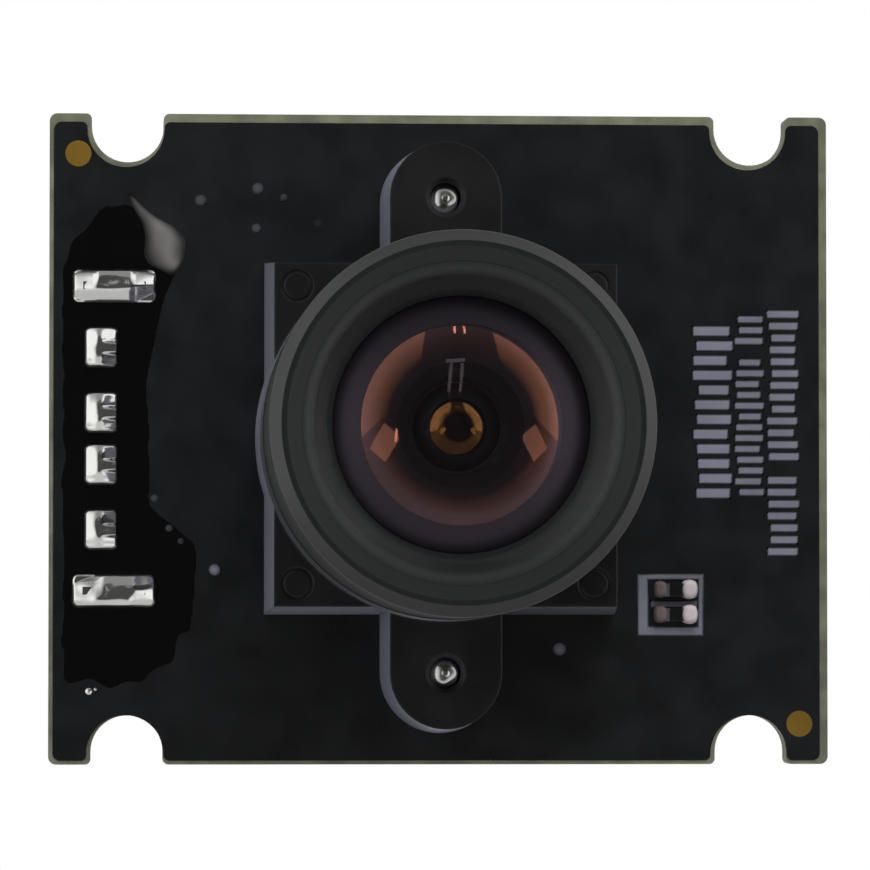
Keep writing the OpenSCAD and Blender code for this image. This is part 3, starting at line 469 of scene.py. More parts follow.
def anodised(name, tone, roughness, pitch=9000.0, gloss=0.5):
    """Black anodised turning: concentric tool lines in gloss and height, and a few specks."""
    made, recipe, surface = material(name)
    turned = effect(recipe, "Turned", Pitch=pitch)
    dust = effect(recipe, "Dust", Scale=700.0, Share=0.02)
    shade = recipe.blend(recipe.span(turned.outputs["Mask"], 0.3, 0.7), *shades(tone, 0.8, 1.25))
    recipe.put(surface, "Base Color", recipe.blend(dust.outputs[0], shade, (0.06, 0.06, 0.06)))
    recipe.put(surface, "Roughness", recipe.span(turned.outputs["Mask"], 0.3, 0.7,
                                                 roughness - 0.07, roughness + 0.07))
    surface.inputs["Specular IOR Level"].default_value = gloss
    recipe.put(surface, "Normal", recipe.bump(turned.outputs["Height"], 0.000006, 0.6))
    return made


def bright_metal(name, tone, roughness, scale=2500.0, depth=0.000003):
    """Plated or tinned metal: mottled gloss over a faint waviness."""
    made, recipe, surface = material(name)
    grain = effect(recipe, "Grain", Scale=scale)
    recipe.put(surface, "Base Color", recipe.blend(grain.outputs["Mask"],
                                                   *shades(tone, 0.86, 1.1)))
    surface.inputs["Metallic"].default_value = 1.0
    recipe.put(surface, "Roughness", recipe.span(grain.outputs["Mask"], 0.3, 0.7,
                                                 roughness * 0.75, roughness * 1.35))
    recipe.put(surface, "Normal", recipe.bump(grain.outputs["Height"], depth, 0.5))
    return made


def coated_glass(name, tint, ior):
    """Clear optical glass whose coating tints its reflection."""
    made, _, surface = material(name)
    surface.inputs["Base Color"].default_value = (0.98, 0.99, 1.0, 1)
    surface.inputs["Roughness"].default_value = 0.0
    surface.inputs["IOR"].default_value = ior
    surface.inputs["Specular Tint"].default_value = (*tint, 1)
    surface.inputs["Transmission Weight"].default_value = 1.0
    return made


def coated_zone(name, tint, ior, tone, roughness):
    """A coated zone with a blackened ground behind it: no light comes through, so only the
    coating's tinted gloss shows, over a dark ground with a faint mottle."""
    made, recipe, surface = material(name)
    grain = effect(recipe, "Grain", Scale=3000.0)
    recipe.put(surface, "Base Color", recipe.blend(grain.outputs["Mask"], *shades(tone, 0.9, 1.1)))
    surface.inputs["Roughness"].default_value = roughness
    surface.inputs["IOR"].default_value = ior
    surface.inputs["Specular Tint"].default_value = (*tint, 1)
    return made


def one_way(made, ior, outer=False):
    """Makes a zone clear for rays that leave the glass: those that come from behind a zone seen
    through the glass, or, for the outer face, those that come from inside."""
    recipe = Recipe(made.node_tree)
    output = output_of(made)
    ground = output.inputs["Surface"].links[0].from_socket
    clear = recipe.add("ShaderNodeBsdfPrincipled", None, Roughness=0.0, IOR=ior)
    recipe.put(clear, "Transmission Weight", 1.0)
    side = recipe.add("ShaderNodeNewGeometry").outputs["Backfacing"]
    mixed = recipe.add("ShaderNodeMixShader")
    recipe.put(mixed, "in 0", side)
    recipe.put(mixed, "in 1", ground if outer else clear.outputs[0])
    recipe.put(mixed, "in 2", clear.outputs[0] if outer else ground)
    recipe.put(output, "Surface", mixed.outputs[0])
    return made


def dress(node, made):
    """Gives a CAD node one material in all of its slots."""
    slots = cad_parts[node].data.materials
    slots.clear()
    slots.append(made)


# Surfaces --------------------------------------------------------------------------------------

def placed(name, data):
    """A new object with the given data, in the scene."""
    thing = bpy.data.objects.new(name, data)
    bpy.context.scene.collection.objects.link(thing)
    return thing


def covered(thing, cover):
    """Stores how fully the ink covers each point of a piece, and returns the piece."""
    thing.data.attributes.new("cover", "FLOAT", "POINT").data.foreach_set("value", cover)
    return thing


def circle(count, way=1):
    """Points evenly round a unit circle, anticlockwise, or clockwise where way is -1."""
    angle = np.arange(count) * TURN / count * way
    return np.stack([np.cos(angle), np.sin(angle)], -1)


def rim_of(rows, columns):
    """The numbers of the outer points of a rows by columns grid, once round it."""
    number = np.arange(rows * columns).reshape(rows, columns)
    return np.concatenate([number[:-1, 0], number[-1, :-1], number[:0:-1, -1], number[0, :0:-1]])


def grid_faces(rows, columns, close_rows=False, close_columns=False):
    """Quads of a rows by columns grid of points, joined end to start where closed."""
    i = np.arange(rows if close_rows else rows - 1)[:, None]
    j = np.arange(columns if close_columns else columns - 1)[None, :]
    i2, j2 = (i + 1) % rows, (j + 1) % columns
    quads = np.stack([i * columns + j, i2 * columns + j, i2 * columns + j2, i * columns + j2], -1)
    return quads.reshape(-1, 4)


def mesh_piece(name, points, faces, materials, normals=None, slots=None, node=None,
               stands_for=()):
    """An object at the origin from board-frame points and faces. It rides on the root body and hides
    the nodes it stands for. node is not used."""
    mesh = bpy.data.meshes.new(name)
    mesh.from_pydata(to_row(points).tolist(), [], faces)
    for made in materials:
        mesh.materials.append(made)
    mesh.polygons.foreach_set("use_smooth", np.ones(len(mesh.polygons), bool))
    if slots is not None:
        mesh.polygons.foreach_set("material_index", np.asarray(slots, np.int32))
    mesh.update()
    if normals is not None:
        turned = to_row(normals)
        turned /= np.linalg.norm(turned, axis=-1, keepdims=True)
        mesh.normals_split_custom_set_from_vertices(turned.tolist())
    thing = placed(name, mesh)
    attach(thing, "root")
    if stands_for:
        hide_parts(*stands_for)
    return thing


def rounded(points, radii):
    """A closed clockwise profile of (radius, height) corners with each corner turned into an arc
    that touches both of its sides: (points, outward normals, number of the side after each)."""
    points = np.asarray(points, float)
    out, facing, side = [], [], []
    count, steps = len(points), 5
    for k in range(count):
        here, before, after = points[k], points[k - 1], points[(k + 1) % count]
        u = (before - here) / np.linalg.norm(before - here)
        v = (after - here) / np.linalg.norm(after - here)
        half = math.acos(np.clip(u @ v, -1, 1)) / 2
        start, end = np.array([u[1], -u[0]]), np.array([-v[1], v[0]])
        setback = radii[k] / math.tan(half)
        turn = start[0] * end[1] - start[1] * end[0]
        centre = here + u * setback - start * radii[k] * (1 if turn < 0 else -1)
        share = np.linspace(0, 1, steps + 1)[:, None]
        swept = math.pi - 2 * half
        mixed = (np.sin((1 - share) * swept) * start + np.sin(share * swept) * end) / math.sin(swept)
        out.append(centre + mixed * radii[k] * (1 if turn < 0 else -1))
        facing.append(mixed)
        side.append(np.r_[np.full(steps, k - 1), k])
    return np.concatenate(out), np.concatenate(facing), np.concatenate(side)


def spun(profile, facing, segments, closed):
    """Points, normals and faces of a profile turned about the lens's axis. A closed profile is a
    loop; an open one starts and ends on the axis, where a fan closes it."""
    ring = circle(segments)

    def swing(pairs):
        """(radius, height) pairs swung into rings."""
        return np.concatenate([pairs[:, None, :1] * ring[None],
                               np.repeat(pairs[:, None, 1:], segments, 1)], -1).reshape(-1, 3)

    if closed:
        faces = grid_faces(len(profile), segments, close_rows=True, close_columns=True)
        return swing(profile), swing(facing), faces.tolist(), np.repeat(
            np.arange(len(profile)), segments)
    rows = len(profile) - 2
    tip = rows * segments
    j = np.arange(segments)
    k = (j + 1) % segments
    first = np.stack([np.full(segments, tip), j, k], -1)
    last = np.stack([tip - segments + j, np.full(segments, tip + 1), tip - segments + k], -1)
    quads = grid_faces(rows, segments, close_columns=True)
    points = np.concatenate([swing(profile[1:-1]), [[0, 0, profile[0, 1]], [0, 0, profile[-1, 1]]]])
    normals = np.concatenate([swing(facing[1:-1]), [[0, 0, 1], [0, 0, -1]]])
    band = np.concatenate([np.zeros(segments, int), 1 + np.repeat(np.arange(rows - 1), segments),
                           np.full(segments, rows)])
    return points, normals, first.tolist() + quads.tolist() + last.tolist(), band


def arc(curve, top, radii, outward=1):
    """Points of a circle's arc of radius curve about the axis, whose vertex is at height top, at
    the given radii: height = top - curve + sqrt(curve^2 - radius^2)."""
    radii = np.asarray(radii, float)
    lift = np.sqrt(curve ** 2 - radii ** 2)
    facing = np.stack([radii, lift], -1) / curve * outward
    return np.stack([radii, top - curve + lift], -1), facing


def field_piece(name, low, high, step, height, floor, materials, **words):
    """A surface z = height(x, y) over a rectangle, closed below at the level floor."""
    x = np.linspace(low[0], high[0], max(3, int(round((high[0] - low[0]) / step)) + 1))
    y = np.linspace(low[1], high[1], max(3, int(round((high[1] - low[1]) / step)) + 1))
    grid_x, grid_y = np.meshgrid(x, y, indexing="ij")
    top = np.stack([grid_x, grid_y, height(grid_x, grid_y)], -1).reshape(-1, 3)
    rows, columns = len(x), len(y)
    edge = rim_of(rows, columns)
    under = top[edge].copy()
    under[:, 2] = floor
    foot = rows * columns + np.arange(len(edge))
    wall = np.stack([edge, foot, np.roll(foot, -1), np.roll(edge, -1)], -1)
    faces = grid_faces(rows, columns).tolist() + wall.tolist() + [foot[::-1].tolist()]
    return mesh_piece(name, np.concatenate([top, under]), faces, materials, **words)


def rolled(share):
    """The height of a rounded edge, from 0 at its foot to 1 a full width in: a quarter circle."""
    share = np.clip(share, 0, 1)
    return np.sqrt(share * (2 - share))


def inside_pad(x, y, width, height, corner):
    """Distance inwards from the edge of a pad with rounded corners, negative outside it."""
    ax, ay = np.abs(x) - width / 2 + corner, np.abs(y) - height / 2 + corner
    return corner - np.hypot(np.maximum(ax, 0), np.maximum(ay, 0)) - np.minimum(
        np.maximum(ax, ay), 0)


def inside_outline(x, y, outline):
    """Distance inwards from a closed outline, negative outside it: the least distance to any of
    its sides, with its sign from the number of sides that a line to the right crosses."""
    a, b = outline, np.roll(outline, -1, 0)
    px, py = x.reshape(-1, 1), y.reshape(-1, 1)
    run = b - a
    share = ((px - a[:, 0]) * run[:, 0] + (py - a[:, 1]) * run[:, 1]) / (run ** 2).sum(-1)
    share = np.clip(share, 0, 1)
    away = np.hypot(px - a[:, 0] - share * run[:, 0], py - a[:, 1] - share * run[:, 1]).min(1)
    crosses = ((a[:, 1] > py) != (b[:, 1] > py)) & (
        px < a[:, 0] + (py - a[:, 1]) * run[:, 0] / np.where(run[:, 1] == 0, 1e-9, run[:, 1]))
    return np.where(crosses.sum(1) % 2 == 1, away, -away).reshape(x.shape)


def softened(points, spread, count):
    """A closed loop through the given corners, drawn at even steps and smoothed by a Gaussian of
    the given spread along it."""
    points = np.asarray(points, float)
    closed = np.concatenate([points, points[:1]])
    walked = np.r_[0, np.cumsum(np.linalg.norm(np.diff(closed, axis=0), axis=1))]
    at = np.linspace(0, walked[-1], count, endpoint=False)
    loop = np.stack([np.interp(at, walked, closed[:, k]) for k in (0, 1)], -1)
    away = np.minimum(at, walked[-1] - at)
    weight = np.exp(-(away / spread) ** 2 / 2)
    spectrum = np.fft.fft(weight / weight.sum())[:, None]
    return np.real(np.fft.ifft(np.fft.fft(loop, axis=0) * spectrum, axis=0))


def waves(x, y, size, seed):
    """A smooth random surface about zero: nine plane waves of about the given length, added up
    and divided by the root of their number."""
    count = 9
    luck = np.random.default_rng(seed)
    total = np.zeros_like(x)
    for direction, stretch, phase in luck.uniform(0, 1, (count, 3)):
        turn, long = direction * TURN, size * (0.7 + 0.9 * stretch)
        total += np.sin((x * math.cos(turn) + y * math.sin(turn)) * TURN / long + phase * TURN)
    return total / math.sqrt(count)


def strokes(name, boxes, level, fade, made, strength=None, node=None, rear=False):
    """Printed strokes: each box (x0, y0, x1, y1) is a thin slab of three by three cells whose
    attribute cover falls from its strength to 0 over the width fade at its rim."""
    boxes = np.asarray(boxes, float)
    strength = np.ones(len(boxes)) if strength is None else np.asarray(strength, float)
    inset = np.minimum(fade, 0.45 * np.minimum(boxes[:, 2] - boxes[:, 0], boxes[:, 3] - boxes[:, 1]))
    x = np.stack([boxes[:, 0], boxes[:, 0] + inset, boxes[:, 2] - inset, boxes[:, 2]], -1)
    y = np.stack([boxes[:, 1], boxes[:, 1] + inset, boxes[:, 3] - inset, boxes[:, 3]], -1)
    full = np.array([0, 1, 1, 0])
    lift = level + INK_DEPTH * (full[:, None] * full[None, :]) * (-1 if rear else 1)
    grid = np.stack([np.broadcast_to(x[:, :, None], (len(boxes), 4, 4)),
                     np.broadcast_to(y[:, None, :], (len(boxes), 4, 4)),
                     np.broadcast_to(lift, (len(boxes), 4, 4))], -1)
    cells = grid_faces(4, 4)
    if rear:
        cells = cells[:, ::-1]
    under = np.array([[0, 4, 8, 12, 13, 14, 15, 11, 7, 3, 2, 1]])
    if not rear:
        under = under[:, ::-1]
    shift = 16 * np.arange(len(boxes))[:, None, None]
    faces = (cells[None] + shift).reshape(-1, 4).tolist() + (under[None] + shift).reshape(
        -1, 12).tolist()
    thing = mesh_piece(name, grid.reshape(-1, 3), faces, [made], node=node)
    cover = (strength[:, None, None] * (full[:, None] * full[None, :])[None]).reshape(-1)
    return covered(thing, cover)


def spots(name, centres, radii, strength, level, made, rise=0.03, rear=False, node=None):
    """Small round domes: rings of points whose height is rise * (1 - share^2) and whose attribute
    cover falls from strength at the middle to 0 at the rim."""
    centres, radii = np.asarray(centres, float), np.asarray(radii, float)
    segments, share = 14, np.array([1.0, 0.8, 0.55, 0.28])
    way = -1 if rear else 1
    ring = circle(segments, way)
    flat = (centres[:, None, None] + radii[:, None, None, None] * share[:, None, None] * ring)
    high = level + rise * (1 - share ** 2) * way
    body = np.concatenate([flat, np.broadcast_to(high[:, None, None], (*flat.shape[:3], 1))], -1)
    body = body.reshape(len(centres), -1, 3)
    tips = np.concatenate([centres, np.full((len(centres), 1), level + rise * way)], -1)[:, None]
    points = np.concatenate([body, tips], 1)
    each = points.shape[1]
    j = np.arange(segments)
    quads = grid_faces(4, segments, close_columns=True)[:, ::-1]
    fan = np.stack([np.full(segments, each - 1), 3 * segments + j,
                    3 * segments + (j + 1) % segments], -1)
    shift = each * np.arange(len(centres))[:, None, None]
    faces = ((quads[None] + shift).reshape(-1, 4).tolist() + (fan[None] + shift).reshape(
        -1, 3).tolist() + (j[::-1][None, None] + shift).reshape(-1, segments).tolist())
    thing = mesh_piece(name, points.reshape(-1, 3), faces, [made], node=node)
    fall = np.r_[np.repeat(1 - share ** 2, segments), 1.0]
    cover = (np.asarray(strength, float)[:, None] * fall[None]).reshape(-1)
    return covered(thing, cover)


def printed_frame(name, low, high, widths, strengths, level, fade, made, rear=False, node=None):
    """A printed line round a rectangle: four corners by four lines across it, mitred and closed
    underneath. Widths and strengths are those of the left, bottom, right and top sides; the
    attribute cover is a corner's mean strength inside the line and 0 at both of its rims."""
    across = np.stack([np.zeros(4), np.full(4, fade), np.array(widths) - fade, np.array(widths)], -1)
    in_x = across[[0, 2, 2, 0]] * np.array([1, -1, -1, 1])[:, None]
    in_y = across[[1, 1, 3, 3]] * np.array([1, 1, -1, -1])[:, None]
    corner_x = np.array([low[0], high[0], high[0], low[0]])[:, None]
    corner_y = np.array([low[1], low[1], high[1], high[1]])[:, None]
    side = -1 if rear else 1
    lift = np.broadcast_to(level + side * INK_DEPTH * np.array([0, 1, 1, 0]), (4, 4))
    points = np.stack([corner_x + in_x, corner_y + in_y, lift], -1).reshape(-1, 3)
    faces = grid_faces(4, 4, close_rows=True, close_columns=True)
    if rear:
        faces = faces[:, ::-1]
    thing = mesh_piece(name, points, faces.tolist(), [made], node=node)
    mean = (np.array(strengths)[[0, 1, 2, 3]] + np.array(strengths)[[1, 2, 3, 0]]) / 2
    cover = (mean[:, None] * np.array([0, 1, 1, 0])).reshape(-1)
    return covered(thing, cover)


# Turned pieces ---------------------------------------------------------------------------------

def barrel(look, materials):
    """The turned barrel: its profile is a closed loop with every corner broken by a small arc, and
    the neck between its end and the relief groove carries a helical thread whose depth follows
    the fraction of a turn."""
    head_r, rim = BARREL_HIGH[0], BARREL_HIGH[2]
    end = BARREL_LOW[2]
    thread, bore = look.thread / MM, look.bore / MM
    bevel, flat = look.bevel / MM, look.flat / MM
    shoulder = rim - look.head / MM
    ring_low, ring_high = corners("front_retaining_ring")
    glass_low, glass_high = corners("front_glass")
    clear = 0.006
    ring_r, ring_top, seat_r = ring_high[0] + clear, ring_high[2] + 0.02, glass_high[0] + clear
    step = ring_low[2] + 0.15
    seat = glass_low[2]
    stack = corners("rear_glass")[0][2]
    mouth = 2.7
    relief = thread - 0.25
    bevel_side, neck_side = 9, 15
    thread_depth, run_out, wall_gap = 0.11, 0.12, 0.3
    loop = [(mouth, end), (mouth, stack), (bore, stack), (bore, seat), (seat_r, seat),
            (seat_r, step), (ring_r, step), (ring_r, ring_top),
            (head_r - bevel - flat, rim), (head_r - bevel, rim), (head_r, rim - bevel),
            (head_r, shoulder + 0.25), (head_r - 0.25, shoulder), (relief, shoulder),
            (relief, shoulder - 0.35), (thread, shoulder - 0.5), (thread, end + wall_gap),
            (thread - 0.3, end)]
    radii = [0.03, 0.02, 0.03, 0.02, 0.02, 0.01, 0.01, 0.004, 0.03, 0.04, 0.06, 0.05, 0.05, 0.05,
             0.03, 0.03, 0.03, 0.04]
    profile, facing, side = rounded(loop, radii)
    neck = np.flatnonzero(side == neck_side)
    rows = np.arange(neck[-1], neck[-1] + 2)
    steps = 72
    share = np.linspace(0, 1, steps + 2)[1:-1, None]
    extra = profile[rows[0]] * (1 - share) + profile[rows[1]] * share
    profile = np.insert(profile, rows[1], extra, 0)
    facing = np.insert(facing, rows[1], np.repeat(facing[rows[:1]], steps, 0), 0)
    side = np.insert(side, rows[1], np.full(steps, neck_side))
    segments = 240
    points, normals, faces, band = spun(profile, facing, segments, True)
    finish = np.where(side == bevel_side, 1, np.where(side > bevel_side, 2, 0))
    cut = slice(rows[1] * segments, (rows[1] + steps) * segments)
    x, y, z = points[cut].T
    turns = z / (look.pitch / MM) - np.arctan2(y, x) / TURN
    swing = turns * TURN
    fade = np.clip(np.minimum(z - end - wall_gap, shoulder - 0.5 - z) / run_out, 0, 1)
    depth = thread_depth * fade
    radius = thread + depth * (np.cos(swing) + 0.12 * np.cos(3 * swing))
    slope = -depth * (np.sin(swing) + 0.36 * np.sin(3 * swing)) * TURN / (look.pitch / MM)
    round_x, round_y = x / thread, y / thread
    points[cut] = np.stack([round_x * radius, round_y * radius, z], -1)
    normals[cut] = np.stack([round_x, round_y, -slope], -1)
    return mesh_piece("turned_barrel", points, faces, materials, normals=normals,
                      slots=finish[band], node="lens_barrel", stands_for=("lens_barrel",))


def locking_ring(made):
    """The ring that holds the front glass: a straight cone that meets a rounded front edge without
    a crease, with fine tool steps cut round the cone."""
    low, high = corners("front_retaining_ring")
    r, top, mouth = high[0], high[2], low[2]
    seat_r = corners("front_glass")[1][0]
    lip, crest, tilt = mouth + 0.15, 0.7, math.radians(10)
    ridges, ridge_height = 22, 0.0022
    centre = np.array([r + crest * math.sin(tilt), top - crest * math.cos(tilt)])
    run = centre - (MOUTH_R, lip)
    reach = np.hypot(*run)
    slope = math.atan2(run[1], run[0]) + math.asin(crest / reach)
    tangent = math.sqrt(reach ** 2 - crest ** 2)
    share = np.linspace(0.02, 1, 90)
    along = np.array([math.cos(slope), math.sin(slope)])
    across = np.array([-along[1], along[0]])
    fade = np.minimum(1, (1 - share) * 12)
    ridge = ridge_height * np.sin(share * TURN * ridges) * fade
    tilt_of = ridge_height * TURN * ridges / tangent * np.cos(share * TURN * ridges) * fade
    cone = (MOUTH_R, lip) + share[:, None] * tangent * along + ridge[:, None] * across
    cone_facing = across - tilt_of[:, None] * along
    start, end = slope + math.pi / 2, tilt + math.pi / 2
    sweep = np.linspace(start, end, 22)[1:]
    face = np.stack([np.cos(sweep), np.sin(sweep)], -1)
    edge = centre + crest * face
    corner = [(r, lip), (seat_r, lip), (seat_r, mouth), (MOUTH_R, mouth), (MOUTH_R, lip - 0.01)]
    facing = [(1, 0), (1, 0), (1, -1), (-1, -1), (-1, 0)]
    profile = np.concatenate([cone, edge, [(r, top - 0.01)], corner])
    normals = np.concatenate([cone_facing, face, [(1, 0)], facing])
    points, normals, faces, _ = spun(profile, normals, 240, True)
    return mesh_piece("turned_ring", points, faces, [made], normals=normals,
                      node="front_retaining_ring", stands_for=("front_retaining_ring",))


def shelf(inner, top, r, foot, hollow):
    """The flat rim of a glass, its ground edge and its seat, with a hair's breadth between the two
    sides of each corner, which keeps it sharp: (points, outward normals)."""
    hair = 0.01
    points = [(inner + hair, top), (r, top), (r, top - hair), (r, foot + hair), (r, foot),
              (hollow + hair, foot)]
    return points, [(0, 1), (0, 1), (1, 0), (1, 0), (0, -1), (0, -1)]


def front_lens(look, coatings, ground):
    """The front glass: an outer dome, a ground edge and a hollow, each face exactly spherical or
    flat; the normals are those of the true surfaces. Coatings are those of the dome's middle and
    rim and of the hollow's middle and rim."""
    low, high = corners("front_glass")
    r, seat, vertex = high[0], low[2], high[2]
    curve, hollow_curve, hollow = look.front_curve / MM, look.hollow_curve / MM, look.hollow / MM
    clear, clear_hollow = look.clear / MM, look.clear_hollow / MM
    clear_steps, rim_steps = 30, 13
    out = np.r_[np.linspace(0, clear, clear_steps + 1), np.linspace(clear, MOUTH_R, 12)[1:]]
    dome, dome_facing = arc(curve, vertex, out)
    edge, edge_facing = shelf(MOUTH_R, dome[-1, 1], r, seat, hollow)
    back = np.r_[np.linspace(hollow, clear_hollow, rim_steps + 1),
                 np.linspace(clear_hollow, 0, 20)[1:]]
    cup, cup_facing = arc(hollow_curve, vertex - look.middle / MM, back, -1)
    profile = np.concatenate([dome, edge, cup])
    facing = np.concatenate([dome_facing, edge_facing, cup_facing])
    points, normals, faces, band = spun(profile, facing, 160, False)
    start = len(dome) + len(edge)
    slots = np.select([band < clear_steps, band < len(dome) - 1, band < start - 1,
                       band < start + rim_steps], [0, 1, 4, 3], 2)
    return mesh_piece("front_lens", points, faces,
                      [*coatings, ground], normals=normals, slots=slots,
                      node="front_glass", stands_for=("front_glass",))


def second_lens(look, coatings, ground):
    """The second glass: a bulge through the spacer's hole, a shoulder and a hollow behind. The
    bulge has a clear middle, a coated zone and a dull black-green rim."""
    low, high = corners("second_glass")
    r, foot, top = high[0], low[2], high[2]
    curve, bulge = look.bulge_curve / MM, look.bulge / MM
    clear, coated = 0.42, 1.03
    clear_steps, coated_steps = 8, 14
    out = np.r_[np.linspace(0, clear, clear_steps + 1),
                np.linspace(clear, coated, coated_steps + 1)[1:],
                np.linspace(coated, bulge, 12)[1:]]
    dome, dome_facing = arc(curve, top, out)
    back_curve, back_sag = 3.6, 0.3
    back_r = math.sqrt(back_curve ** 2 - (back_curve - back_sag) ** 2)
    edge, edge_facing = shelf(bulge, dome[-1, 1], r, foot, back_r)
    cup, cup_facing = arc(back_curve, foot + back_sag, np.linspace(back_r, 0, 16), -1)
    profile = np.concatenate([dome, edge, cup])
    facing = np.concatenate([dome_facing, edge_facing, cup_facing])
    points, normals, faces, band = spun(profile, facing, 128, False)
    slots = np.select([band < clear_steps, band < clear_steps + coated_steps, band < len(dome) - 1,
                       band < len(dome) + len(edge) - 1], [0, 2, 3, 1], 0)
    return mesh_piece("second_lens", points, faces, [coatings[0], ground, coatings[1], coatings[2]],
                      normals=normals, slots=slots, node="second_glass",
                      stands_for=("second_glass",))


def screw(name, node, look, made):
    """A screw from the rear: a bevelled pan head with a cross recess pressed in as a smooth dip, a
    plain neck, and a helical thread up to a domed, slightly torn tip. Its radius is a function of
    height and of the fraction of a turn."""
    low, high = corners(node)
    cx, cy = (low[0] + high[0]) / 2, (low[1] + high[1]) / 2
    head_r, under, tip = (high[0] - low[0]) / 2, low[2], high[2]
    core, neck, pitch = 0.5, 0.7, look.screw_pitch / MM
    segments, shank_steps, dip_steps, tip_curve = 72, 64, 22, 0.95
    angle = np.arange(segments) * TURN / segments
    dome_r = np.linspace(0.02, core - 0.06, 12)
    dome = np.stack([dome_r, tip - tip_curve + np.sqrt(tip_curve ** 2 - dome_r ** 2)], -1)
    shank_z = np.linspace(dome[-1, 1] - 0.04, SKIN_Z, shank_steps)
    shank = np.stack([np.full(shank_steps, core), shank_z], -1)
    rear = np.array([(neck, SKIN_Z - 0.02), (neck, REAR_Z + 0.02), (head_r - 0.03, REAR_Z),
                     (head_r, REAR_Z - 0.03), (head_r, under + 0.32), (head_r - 0.05, under + 0.24),
                     (head_r - 0.24, under + 0.05), (head_r - 0.32, under)])
    dip_r = np.linspace(head_r - 0.36, 0.02, dip_steps)
    dip = np.stack([dip_r, np.full(dip_steps, under)], -1)
    profile = np.concatenate([dome, shank, rear, dip])
    radius = np.repeat(profile[:, :1], segments, 1)
    level = np.repeat(profile[:, 1:], segments, 1)
    threaded = slice(len(dome), len(dome) + shank_steps)
    turns = level[threaded] / pitch - angle[None] / TURN
    crest = 0.5 + 0.5 * np.cos(turns * TURN)
    radius[threaded] = core - 0.02 + 0.13 * crest ** 2
    x, y = radius * np.cos(angle), radius * np.sin(angle)
    torn = slice(0, len(dome))
    level[torn] += 0.035 * waves(x[torn], y[torn], 0.8, 7) * (x[torn] ** 2 + y[torn] ** 2 > 0.01)
    back = slice(len(profile) - dip_steps, len(profile))
    arm = np.minimum(np.abs(x[back]), np.abs(y[back]))
    out = np.hypot(x[back], y[back])
    deep, half_wide, long, wall = 0.42, 0.19, 0.78, 0.06
    level[back] += (deep * np.clip((half_wide - arm) / wall, 0, 1)
                    * np.clip((long - out) / wall, 0, 1))
    points = np.concatenate([np.stack([cx + x, cy + y, level], -1).reshape(-1, 3),
                             [[cx, cy, level[0].mean()], [cx, cy, level[-1].mean()]]])
    rows = len(profile)
    j = np.arange(segments)
    k = (j + 1) % segments
    first = np.stack([np.full(segments, rows * segments), j, k], -1)
    last = np.stack([(rows - 1) * segments + j, np.full(segments, rows * segments + 1),
                     (rows - 1) * segments + k], -1)
    faces = grid_faces(rows, segments, close_columns=True).tolist() + first.tolist() + last.tolist()
    return mesh_piece(name, points, faces, [made], node=node, stands_for=(node,))


# Joints and print ------------------------------------------------------------------------------

def eased(value):
    """The positive part of a value, rounded off near 0: soft * ln(1 + e^(value / soft))."""
    soft = 0.05
    return soft * np.logaddexp(0, value / soft)


def ramp(value, low, high):
    """0 below low, 1 above high and a smooth cubic between."""
    share = np.clip((value - low) / (high - low), 0, 1)
    return share * share * (3 - 2 * share)


def on_pad(u, v, width, height, shape):
    """The height of a joint: its shape over a rounded pad, nowhere thinner than a film, with an
    edge that rises in a quarter circle."""
    corner, roll, film, sunk = 0.25, 0.12, 0.14, -0.05
    inward = inside_pad(u, v, width, height, corner)
    return PAD_Z + np.where(inward > 0, rolled(inward / roll) * np.maximum(shape, film), sunk)


def joint_piece(name, cx, cy, width, height, step, level, made, node):
    """A joint's surface over its pad and a narrow margin."""
    margin = 0.04
    low = (cx - width / 2 - margin, cy - height / 2 - margin)
    high = (cx + width / 2 + margin, cy + height / 2 + margin)
    return field_piece(name, low, high, step, level, PAD_Z - 0.1, [made], node=node)


def pin_joint(name, cx, cy, look, made, seed):
    """The solder on one pin's pad: a steep rounded foot, a flank that climbs from the left to a
    crest over the pin, and on the right two slopes above and below a level saddle."""
    width, height, climb = look.pin_width / MM, look.pin_height / MM, look.climb / MM
    luck = np.random.default_rng(seed).uniform(-1, 1, 6)

    def level(x, y):
        """The height of the solder at a place on the board."""
        u, v = x - cx, y - cy
        bend = 0.05 * luck[0] * np.sin(3 * v + luck[1])
        left = (0.46 + 0.05 * luck[2]) * eased(-0.15 - u + bend)
        slope = np.maximum(ramp(v, 0.10 + 0.05 * luck[3], 0.26), ramp(-v, 0.20 - 0.05 * luck[4], 0.34))
        right = (0.46 * slope + 0.08) * eased(u - 0.02) + 0.25 * ramp(-v, 0.2, 0.6) * eased(-v - 0.2)
        top = 0.30 * eased(v - 0.35) + 0.7 * eased(v - 0.66) + 0.6 * eased(-0.68 - v)
        shape = climb - left - right - top + 0.010 * waves(x, y, 0.6, seed)
        return on_pad(u, v, width, height, shape)

    return joint_piece(name, cx, cy, width, height, 0.02, level, made, "pin_solder")


